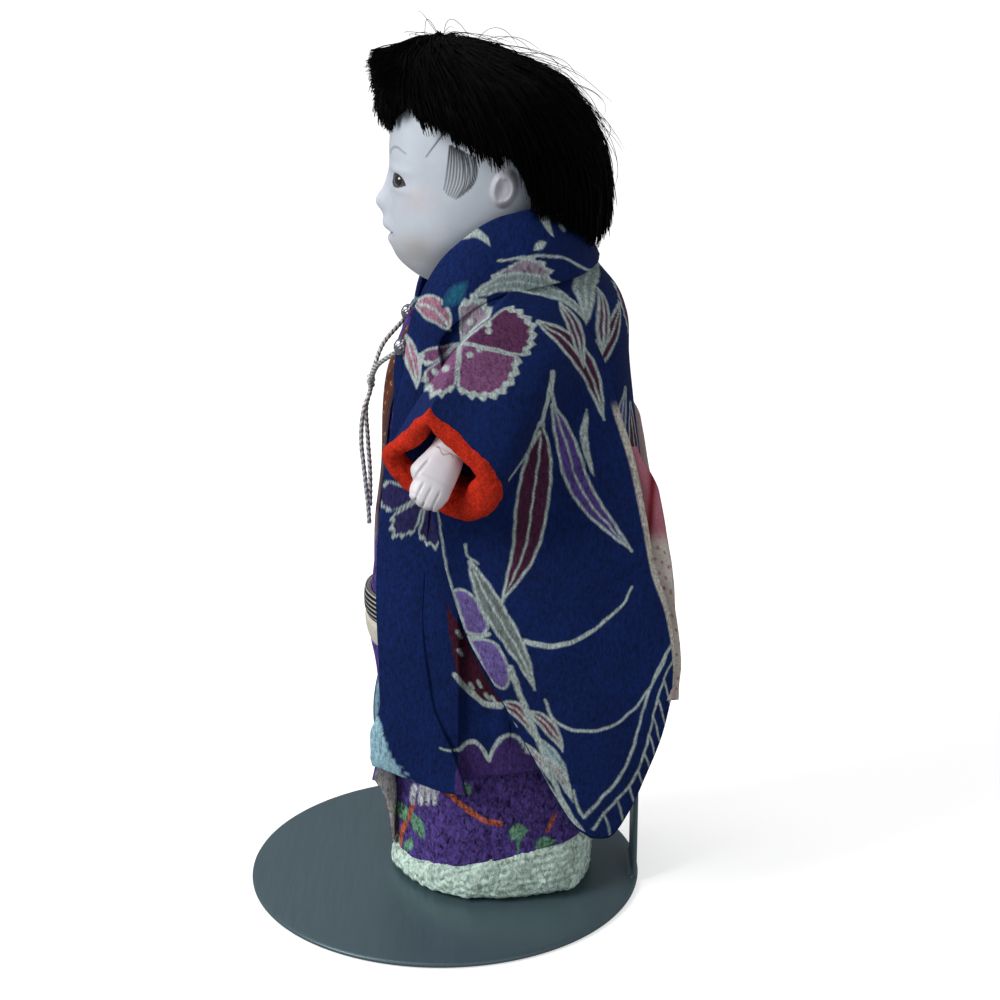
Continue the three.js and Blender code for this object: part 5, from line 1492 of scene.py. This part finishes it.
def make_arms():
    """Stuffed upper arms, and white forearms with mitten hands."""
    line = spline([(15.6, 2, 147), (24, 2, 147), ARM_ROOT + (0.4, -0.6, -1), ARM_ROOT + 8 * ARM_WAY,
                   ARM_ROOT + ELBOW * ARM_WAY], 60)
    stuffed = uneven(tube_along(line, UPPER_ARM_RADIUS, 40)[0], 0.2, 6, 95, True)
    grid, colours = hand_grid()
    for name, side in SIDES.items():
        upper = tube_object(f"upper_arm_{name}_stuffed", for_side(stuffed, side), "cotton",
                            flip=True)
        settle(upper, f"arm_{name}", "cotton_stuffed", f"upper_arm_{name}")
        hand = tube_object(f"forearm_{name}_white", for_side(grid, side), "shell_white",
                           colours if side > 0 else colours[:, ::-1])
        settle(hand, f"arm_{name}", "shell_white", f"forearm_{name}")


def oval(table, z, angle, power=1.0):
    """Points of a head's ring, at heights and at angles from the front."""
    width, front, back = np.moveaxis(curve(table, z), -1, 0)
    x = width * bent(np.sin(angle), power)
    y = (front + back) / 2 - (back - front) / 2 * bent(np.cos(angle), power)
    return np.stack([x, y, z + 0 * angle], -1)


# Painted features: width from the middle and height, in mm
BROW = [(5, 186.2), (7.2, 187.5), (10, 188.1), (13.2, 187.1)]
EYE_OPENING = [
    (6.5, 179.6), (7.4, 181.1), (9, 182), (10.8, 181.9), (12, 181), (12.7, 179.9), (11.4, 179.2),
    (9.4, 178.8),
    (7.6, 179),
]
LASH = EYE_OPENING[:6]
MOUTH = [(0, 167.4), (3, 167.3), (6, 167.9)]
CREASE = [(6.1, 167.4), (6.9, 165.4), (7.8, 162.8)]
BEHIND = 9999
# Painted sideburns, in picture pixels
SIDEBURN = [
    [(450, 146), (448, 165), (446, 180), (444, 190)], [(452, 146), (451, 165), (449, 181), (446, 193)],
    [(454, 148), (454, 166), (452, 182), (448, 195)], [(456, 148), (457, 166), (455, 183), (450, 196)],
    [(458, 149), (460, 167), (458, 184), (452, 197)], [(460, 150), (463, 168), (461, 185), (454, 198)],
    [(462, 151), (465, 168), (464, 185), (456, 199)], [(464, 152), (468, 169), (466, 185), (458, 198)],
    [(467, 154), (470, 170), (469, 184), (460, 197)], [(470, 155), (473, 170), (471, 183), (463, 195)],
    [(473, 156), (475, 171), (473, 182), (467, 192)], [(475, 158), (477, 171), (475, 181), (470, 189)],
    [(448, 128), (437, 142), (426, 157)],
]


def make_head():
    """Head with moulded face and ears, painted brows, lips and sideburns, and inset eyes."""
    z = np.concatenate([np.linspace(207, 195, 22)[:-1], np.linspace(195, HEAD[0][0], 200)])[:, None]
    front = np.linspace(-112, 112, 372)
    rear = np.linspace(112, 248, 52)[1:-1]
    angle = np.radians(np.concatenate([front, rear]))[None]
    grid = oval(HEAD, z + 0 * angle, angle, 0.94)
    for height, tall, reach, wide in FACE:
        swell = reach * bell(z, height, tall) * bell(grid[..., 0], 0, wide)
        grid[..., 1] -= swell * (np.cos(angle) > 0)
    x, y = np.abs(grid[..., 0]), grid[..., 1]
    cheek = 0.5 * bell(y, -15, 6) * bell(z, 168, 6)
    lid = bell(x, EYE[0], 4.4) * (0.45 * bell(z, EYE[1] + 2.3, 1.1) + 0.3 * bell(z, EYE[1] - 2.2, 1.1))
    p, q = (y - 0.6 - 0.12 * (z - EAR_Z)) / EAR_HALF[0], (z - EAR_Z) / EAR_HALF[1]
    r = np.hypot(p, q * np.where(q < 0, 1.08, 1))
    ear = 1.3 * smooth(1.1 - r, 0, 0.4) - 0.7 * bell(p, -0.25, 0.42) * bell(q, 0.05, 0.55)
    ear = ear + 0.3 * bell(r, 0.62, 0.1) * (p > -0.2)
    at_side = x > 12
    ear = ear * at_side * (r < 1.2)
    grid = grid + (cheek + lid)[..., None] * normals(grid, True)
    grid[..., 0] += np.sign(grid[..., 0]) * ear

    # Warm painted shade under the chin, blush, the ear's tone with painted shade in its hollow, and sideburns
    # lie where the camera sees them
    face = Print(*picture(grid, np.where(grid[..., 0] < 0, -1, 1)), SHELL, 0)
    face.lay(0.6 * bell(face.u, 414, 24) * bell(face.v, 250, 17), "#a79d93")
    face.lay(0.35 * bell(face.u, 418, 16) * bell(face.v, 200, 14), "#dcc3c4")
    face.lay((0.4 * smooth(1.15 - r, 0, 0.2) * at_side).ravel(), "#b9a9b0")
    face.lay((0.2 * bell(p, -0.15, 0.3) * bell(q, 0.12, 0.4) * at_side).ravel(), "#877880")
    for path in SIDEBURN:
        face.stroke(path, 2.1, 0.8, "#1c1a1d")
    # The other features are painted from the front, in tenths of a millimetre
    brush = Print(np.where(y > 0, BEHIND, grid[..., 0] * 10), -10 * grid[..., 2], SHELL, 0)
    brush.colour = face.colour
    brush.lay((0.4 * bell(x, 0, 3.4) * bell(z, 167.3, 1.4) * (y < 0)).ravel(), "#c99aa2")
    for side in SIDES.values():
        crease, brow, opening, lash, mouth = (
            np.multiply(points, (10 * side, -10)).tolist()
            for points in (CREASE, BROW, EYE_OPENING, LASH, MOUTH))
        brush.stroke(crease, 3, 2, "#c2c3c8")
        brush.stroke(brow, 9, 4, "#aeb3bd")
        brush.patch(opening, "#4c494d")
        brush.stroke(lash, 4, 4, "#2c282b")
        brush.stroke(mouth, 4, 2.5, "#6d5f63")
    head = tube_object("head_white", grid, "shell_white", face.colour)
    settle(head, "head", "shell_white", "head")

    peg = [(147.1, 5.2), (148, 5.7), (150, 5.8), (160, 5.8), (168, 5.8)]
    limb_piece("neck_peg_white", peg, (0, 0), "shell_white", "head", "shell_white", [], SHELL)
    width, front, back = curve(HEAD, np.array(EYE[1]))
    seat = (front + back) / 2 - (back - front) / 2 * math.sqrt(1 - (EYE[0] / width) ** 2) + 0.55
    cosine, sine = math.cos(EYE_TURN), math.sin(EYE_TURN)
    turn = np.array(((cosine, -sine, 0), (sine, cosine, 0), (0, 0, 1)))
    eye = unit_ball(40, 60)
    eye[..., 2] = np.maximum(eye[..., 2], -0.75)
    eye = eye * (EYE_HALF[0], EYE_HALF[1], EYE_HALF[2] * 1.12) @ turn.T + (EYE[0], seat, EYE[1])
    for name, side in SIDES.items():
        piece = tube_object(f"eye_{name}_glass", for_side(eye, side), "glass")
        settle(piece, "head", "eye_glass", f"eye_{name}")


# Hair: heights of the strands' crown and of the cap, and how steps gather at the crown
CROWN = 213
CAP_TOP = 212.6
COMB = 1.9
STRAND_POINTS = 7
LOOSE_POINTS = 12
HAIR_MIDDLE = np.array((0, -4, 186))


def hair_edge(angle):
    """Height of the blunt cut at angles from the front."""
    end = np.full(np.shape(angle), 190.0)
    for _ in range(14):
        y = oval(HAIR, end, angle)[..., 1]
        end = 0.5 * end + 0.5 * curve(HAIR_CUT, np.clip(y, -31, 26))[..., 0]
    return end


def meridians(angle, end):
    """Lines over the hair from the crown to its cut, and the share of their length at each point."""
    steps = np.linspace(0, 1, 90)[None]
    lines = oval(HAIR, CROWN - (CROWN - end)[:, None] * steps ** COMB, angle[:, None])
    run = np.linalg.norm(np.diff(lines, axis=1), axis=2).cumsum(axis=1)
    return lines, np.concatenate([np.zeros((len(angle), 1)), run], axis=1)


def along(lines, run, at):
    """Points at the given lengths along lines, which go straight on past their ends."""
    spots = np.empty(at.shape + (3,))
    for k in range(len(lines)):
        for axis in range(3):
            spots[k, :, axis] = np.interp(at[k], run[k], lines[k, :, axis])
    way = lines[:, -1] - lines[:, -8]
    way /= np.linalg.norm(way, axis=1, keepdims=True)
    return spots + np.maximum(at - run[:, -1:], 0)[..., None] * way[:, None]


def outward(points):
    """Directions away from the middle of the hair."""
    way = points - HAIR_MIDDLE
    return way / np.linalg.norm(way, axis=-1, keepdims=True)


def hair_lines(count, seed):
    """Short layered strands: rooted in the cap, combed from the crown, tips standing a little off."""
    draw = np.random.default_rng(seed)
    angle = draw.uniform(-math.pi, math.pi, count)
    lines, run = meridians(angle, hair_edge(angle))
    whole = run[:, -1]
    nape = smooth(np.abs(angle), 2.2, 2.9)
    clump = np.sin(angle * 37) + np.sin(angle * 61 + 2) + np.sin(angle * 103 + 1)
    ragged = 0.45 * clump + draw.normal(0, 0.5, count) + nape * draw.uniform(-3, 2.4, count)
    length = draw.uniform(8, 17, count)
    at_cut = draw.uniform(size=count) < 0.42
    stop = np.where(at_cut, whole + ragged, draw.uniform(0.12, 1, count) * whole)
    start = np.maximum(stop - length, 0)
    t = np.linspace(0, 1, STRAND_POINTS)[None]
    spots = along(lines, run, start[:, None] + (stop - start)[:, None] * t)
    first = along(lines, run, start[:, None] + np.array([[0, 0.6]]))
    way = (first[:, 1] - first[:, 0]) / 0.6
    straight = first[:, :1] + way[:, None] * ((stop - start)[:, None] * t)[..., None]
    stiff = np.clip(draw.normal(0.16, 0.1, count), 0, 0.5)[:, None, None]
    spots = spots + stiff * (straight - spots)
    out = outward(spots)
    depth = draw.uniform(-0.5, 0.3, count)[:, None] - 1.6 * (1 - smooth(t, 0, 0.5))
    sway = draw.normal(0, 0.5, (count, 1, 3)) * t[..., None]
    sway = sway + draw.normal(0, 0.2, (count, 1, 3)) * np.sin(4 * t)[..., None]
    return spots + depth[..., None] * out + sway * (1 - 0.5 * np.abs(out))


def fringe_lines(count, seed):
    """Strands that run forward over the brow and end at one blunt slanting cut."""
    draw = np.random.default_rng(seed)
    high = draw.uniform(191, 209.2, count)
    x = draw.uniform(-1, 1, count) * (7 + 10 * smooth(high, 195, 204))
    front = curve(FRINGE, high)[..., 0]
    tip = np.column_stack([x, front + 0.02 * x * x + draw.normal(0, 0.45, count), high - 0.012 * x * x])
    drop = 1.6 + 0.7 * (208 - high)
    root = tip + np.column_stack([-0.25 * x, draw.uniform(9, 15, count), drop])
    t = np.linspace(0, 1, STRAND_POINTS)[None, :, None]
    bow = np.column_stack([0 * x, 0 * x, 0.22 * drop + draw.normal(0, 0.3, count)])
    return root[:, None] * (1 - t) + tip[:, None] * t + bow[:, None] * np.sin(np.pi * t)


def loose_lines(count, seed):
    """Fine strands that have come loose over the crown and the back of the head."""
    draw = np.random.default_rng(seed)
    angle = draw.uniform(0.9, 2 * math.pi - 0.9, count)
    lines, run = meridians(angle, hair_edge(angle))
    start = draw.uniform(0, 0.6, count) * run[:, -1]
    t = np.linspace(0, 1, LOOSE_POINTS)[None]
    spots = along(lines, run, start[:, None] + draw.uniform(8, 22, count)[:, None] * t)
    lift = draw.uniform(0.6, 1, count) ** 2 * draw.choice((2.4, 3.6, 6.5), count, p=(0.5, 0.35, 0.15))
    rise = lift[:, None] * np.sin(np.pi * np.clip(t * draw.uniform(0.5, 1, count)[:, None], 0, 1))
    sway = draw.normal(0, 2.4, (count, 1, 3)) * t[..., None] ** 2
    return spots + rise[..., None] * outward(spots) + sway


def strand_tree(sides):
    """Node group that turns lines of points into round strands, thinner towards the tip."""
    tree = bpy.data.node_groups.new("hair_strands", "GeometryNodeTree")
    face = tree.interface
    face.new_socket("Geometry", in_out="INPUT", socket_type="NodeSocketGeometry")
    width = face.new_socket("Strand width", in_out="INPUT", socket_type="NodeSocketFloat")
    cover = face.new_socket("Material", in_out="INPUT", socket_type="NodeSocketMaterial")
    face.new_socket("Geometry", in_out="OUTPUT", socket_type="NodeSocketGeometry")
    source = add(tree, "NodeGroupInput", {}, {})
    lines = add(tree, "GeometryNodeMeshToCurve", {}, {"Mesh": source.outputs["Geometry"]})
    along = add(tree, "GeometryNodeSplineParameter", {}, {})
    taper = add(tree, "ShaderNodeMapRange", {}, {
        "Value": along.outputs["Factor"], "From Min": 0.7, "From Max": 1.0, "To Min": 1.0, "To Max": 0.45})
    sized = add(tree, "GeometryNodeSetCurveRadius", {}, {
        "Curve": lines.outputs["Curve"], "Radius": taper.outputs["Result"]})
    half = add(tree, "ShaderNodeMath", {"operation": "MULTIPLY"}, {0: source.outputs["Strand width"], 1: 0.5})
    ring = add(tree, "GeometryNodeCurvePrimitiveCircle", {}, {
        "Resolution": sides, "Radius": half.outputs["Value"]})
    tube = add(tree, "GeometryNodeCurveToMesh", {}, {
        "Curve": sized.outputs["Curve"], "Profile Curve": ring.outputs["Curve"], "Fill Caps": True})
    if "Scale" in tube.inputs:
        radius = add(tree, "GeometryNodeInputRadius", {}, {})
        tree.links.new(radius.outputs["Radius"], tube.inputs["Scale"])
    whole = add(tree, "GeometryNodeRealizeInstances", {}, {"Geometry": tube.outputs["Mesh"]})
    dressed = add(tree, "GeometryNodeSetMaterial", {}, {
        "Geometry": whole.outputs["Geometry"], "Material": source.outputs["Material"]})
    add(tree, "NodeGroupOutput", {}, {"Geometry": dressed.outputs["Geometry"]})
    return tree, width.identifier, cover.identifier


def grow(name, routes, width, tree, look):
    """Piece of strands from routes, made by the node group and kept as a plain mesh."""
    group, width_socket, cover_socket = tree
    points = np.concatenate(routes)
    ends = np.cumsum([len(route) for route in routes])
    edges = np.column_stack([np.arange(len(points) - 1), np.arange(1, len(points))])
    edges = np.delete(edges, ends[:-1] - 1, axis=0)
    mesh = bpy.data.meshes.new(name)
    mesh.from_pydata(place(points).tolist(), edges.tolist(), [])
    piece = bpy.data.objects.new(name, mesh)
    bpy.context.scene.collection.objects.link(piece)
    strands = piece.modifiers.new("strands", "NODES")
    strands.node_group = group
    strands[width_socket] = width
    strands[cover_socket] = material(look)
    bpy.context.view_layer.update()
    grown = bpy.data.meshes.new_from_object(piece.evaluated_get(bpy.context.evaluated_depsgraph_get()))
    piece.modifiers.clear()
    piece.data = grown
    grown.name = name
    bpy.data.meshes.remove(mesh)
    return piece


def make_hair():
    """Close cap with layered strands over it, and fine ones that have come loose."""
    doll = bpy.context.scene.doll
    angle = turns(180)
    steps = np.linspace(0, 1, fit(90))[:, None]
    grid = oval(HAIR, CAP_TOP - (CAP_TOP - hair_edge(angle) - 1.2) * steps ** COMB, angle)
    grid = grid - 1.3 * normals(grid, True)
    cap = lined_object("hair_cap", grid, 1.4, "hair", "#0a0a0a", "#0a0a0a", True)
    settle(cap, "head", "black_silk_hair", "hair")
    tree = strand_tree(3)
    lines = np.concatenate([hair_lines(doll.strand_count, 7), fringe_lines(doll.strand_count // 5, 9)])
    left = lines[:, :, 0].mean(axis=1) >= 0
    for name, routes, width in (("left", lines[left], 1), ("right", lines[~left], 1),
                                ("loose", loose_lines(doll.loose_count, 8), 0.5)):
        strands = grow(f"hair_strands_{name}", list(routes), width * doll.strand_width, tree, "hair")
        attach(strands, "head")


def aim(position, target):
    """Rotation that points a light or camera at a target."""
    way = np.asarray(target, float) - np.asarray(position, float)
    return Vector(way).to_track_quat("-Z", "Y").to_euler()


def soft_light(name, position, target, size, power):
    """White round area light that points at a target."""
    data = bpy.data.lights.new(name, "AREA")
    data.shape = "DISK"
    data.size, data.energy = size, power
    light = bpy.data.objects.new(name, data)
    light.location = position
    light.rotation_euler = aim(position, target)
    bpy.context.scene.collection.objects.link(light)


# Floor and the wall that it runs up into: distance from the middle and height, in metres
COVE = [(0.001, 0), (1.4, 0), (1.7, 0.03), (1.95, 0.14), (2.15, 0.34), (2.3, 0.7), (2.38, 1.2), (2.4, 3)]


def make_stage():
    """Pale floor, soft lights and the camera of the picture."""
    scene = bpy.context.scene
    doll = scene.doll
    ring = turns(128)
    points = [(far * math.cos(a), far * math.sin(a), high) for far, high in COVE for a in ring]
    mesh = bpy.data.meshes.new("floor")
    mesh.from_pydata(points, [], quads(len(COVE), len(ring), True))
    mesh.polygons.foreach_set("use_smooth", [True] * len(mesh.polygons))
    floor_look, tree = new_material("pale_floor")
    where = add(tree, "ShaderNodeTexCoord", {}, {})
    far = add(tree, "ShaderNodeVectorMath", {"operation": "LENGTH"}, {"Vector": where.outputs["Object"]})
    glow = add(tree, "ShaderNodeMapRange", {}, {
        "Value": far.outputs["Value"], "From Min": 0.25, "From Max": 1.3, "To Min": 0.58, "To Max": 0.82})
    surface(tree, {
        "Base Color": (*doll.floor_colour, 1), "Roughness": 0.9, "Emission Color": (1, 1, 1, 1),
        "Emission Strength": glow.outputs["Result"]})
    mesh.materials.append(floor_look)
    floor = bpy.data.objects.new("floor", mesh)
    floor.location.z = -0.0002
    floor.visible_diffuse = False
    floor.visible_glossy = False
    floor.visible_shadow = False
    scene.collection.objects.link(floor)
    world = bpy.data.worlds.new("studio")
    world.use_nodes = True
    back = world.node_tree.nodes["Background"]
    back.inputs["Color"].default_value = (0.95, 0.97, 1, 1)
    back.inputs["Strength"].default_value = doll.room_light
    scene.world = world
    target = (0, 0.01, 0.11)
    soft_light("key", (0.36, -0.7, 0.62), target, 0.5, doll.key_power)
    soft_light("fill", (0.8, 0.5, 0.4), target, 0.7, 0.15 * doll.key_power)
    soft_light("top", (-0.2, -0.1, 0.9), target, 0.6, 0.3 * doll.key_power)
    data = bpy.data.cameras.new("camera")
    data.sensor_width = 36
    data.lens = data.sensor_width * FOCAL / PICTURE
    data.clip_start = 0.01
    data.clip_end = 30
    camera = bpy.data.objects.new("camera", data)
    camera.location = np.array((CAMERA_OUT, CAMERA_ALONG, CAMERA_HIGH)) * MM
    camera.rotation_euler = (math.pi / 2 - CAMERA_TILT, 0, math.pi / 2)
    scene.collection.objects.link(camera)
    scene.camera = camera
    scene.view_settings.view_transform = "Standard"


def dye(name, hex_colour):
    """Colour property of a dye."""
    return bpy.props.FloatVectorProperty(
        name=name, description=f"Colour of the {name.lower()}", subtype="COLOR", size=3, min=0, max=1,
        default=tuple(linear(hex_colour)))


class DollSettings(bpy.types.PropertyGroup):
    """Sizes and colours of the doll's dress, hair and studio"""
    strand_count: bpy.props.IntProperty(
        name="Strands", description="Number of layered strands over the hair's cap",
        default=8000, min=100, max=20000)
    loose_count: bpy.props.IntProperty(
        name="Loose strands", description="Number of fine strands that have come loose",
        default=170, min=1, max=2000)
    strand_width: bpy.props.FloatProperty(
        name="Strand width", description="Width of a strand", default=0.0003, min=0.0001, max=0.001,
        precision=5, unit="LENGTH")
    key_power: bpy.props.FloatProperty(
        name="Key light", description="Power of the main light", default=6, min=0, unit="POWER")
    room_light: bpy.props.FloatProperty(
        name="Room light", description="Strength of the light from all round", default=0.27, min=0)
    floor_colour: dye("Floor", "#f4f3f2")
    haori_ground: dye("Haori's ground", NAVY)
    resist_lines: dye("Haori's undyed lines", PALE)
    kimono_ground: dye("Kimono's ground", PURPLE)
    cuffs: dye("Cuffs", RED)
    hem_roll: dye("Padded hem", HEM_GREEN)
    shell_white: dye("Shell-white skin", SHELL)


# Dyes that the sidebar sets
DYES = {
    NAVY: "haori_ground", PALE: "resist_lines", PURPLE: "kimono_ground", RED: "cuffs", HEM_GREEN: "hem_roll",
    SHELL: "shell_white",
}


class DollStep:
    """Step that makes one piece or one group of like pieces."""
    bl_options = {"REGISTER", "UNDO"}

    def execute(self, context):
        type(self).make()
        return {"FINISHED"}


def step(name, label, make, about):
    """Operator class of a step; about is the tip that the sidebar shows."""
    return type(f"DOLL_OT_{name}", (DollStep, bpy.types.Operator), {
        "__doc__": about, "bl_idname": f"doll.{name}", "bl_label": label, "make": staticmethod(make)})


STEPS = (
    step("cord", "Haori cord", make_cord, "Silver cord with its beads and knot"),
    step("stand", "Plate stand", make_stand, "Steel plate with its bent tongue"),
    step("inner_body", "Inner body", make_inner_body, "Torso, wadding and legs under the robes"),
    step("under_robe", "Under-robe", make_under_robe, "Under-robe round the body"),
    step("kimono", "Kimono", make_kimono, "Kimono with its front overlap, padded hem and collar"),
    step("sash", "Sash", make_sash, "Sash and its knot"),
    step("haori", "Haori", make_haori_body, "Back, fronts and collar of the haori"),
    step("sleeves", "Haori sleeves", make_sleeves, "Hanging sleeves of the haori"),
    step("cuffs", "Cuff linings", make_cuffs, "Scarlet cuff linings"),
    step("under_sleeves", "Under-robe sleeves", make_under_sleeves, "Under-robe sleeves"),
    step("arms", "Arms", make_arms, "Upper arms, forearms and hands"),
    step("head", "Head", make_head, "Head with its face, neck peg and eyes"),
    step("hair", "Hair", make_hair, "Hair cap and strands"),
    step("stage", "Stage", make_stage, "Floor, lights and camera"),
)


class DOLL_PT_sidebar(bpy.types.Panel):
    """Sizes, colours and steps of the doll"""
    bl_idname = "DOLL_PT_sidebar"
    bl_label = "Ichimatsu doll"
    bl_space_type = "VIEW_3D"
    bl_region_type = "UI"
    bl_category = "Doll"

    def draw(self, context):
        settings = context.scene.doll
        for name in DollSettings.__annotations__:
            self.layout.prop(settings, name)
        for kind in STEPS:
            self.layout.operator(kind.bl_idname)


CLASSES = (DollSettings, *STEPS, DOLL_PT_sidebar)


def register():
    for kind in CLASSES:
        bpy.utils.register_class(kind)
    bpy.types.Scene.doll = bpy.props.PointerProperty(type=DollSettings)


def unregister():
    del bpy.types.Scene.doll
    for kind in reversed(CLASSES):
        bpy.utils.unregister_class(kind)


def main():
    register()
    bpy.ops.doll.cord()
    bpy.ops.doll.stand()
    bpy.ops.doll.inner_body()
    bpy.ops.doll.under_robe()
    bpy.ops.doll.kimono()
    bpy.ops.doll.sash()
    bpy.ops.doll.haori()
    bpy.ops.doll.sleeves()
    bpy.ops.doll.cuffs()
    bpy.ops.doll.under_sleeves()
    bpy.ops.doll.arms()
    bpy.ops.doll.head()
    bpy.ops.doll.hair()
    bpy.ops.doll.stage()


if __name__ == "__main__":
    main()
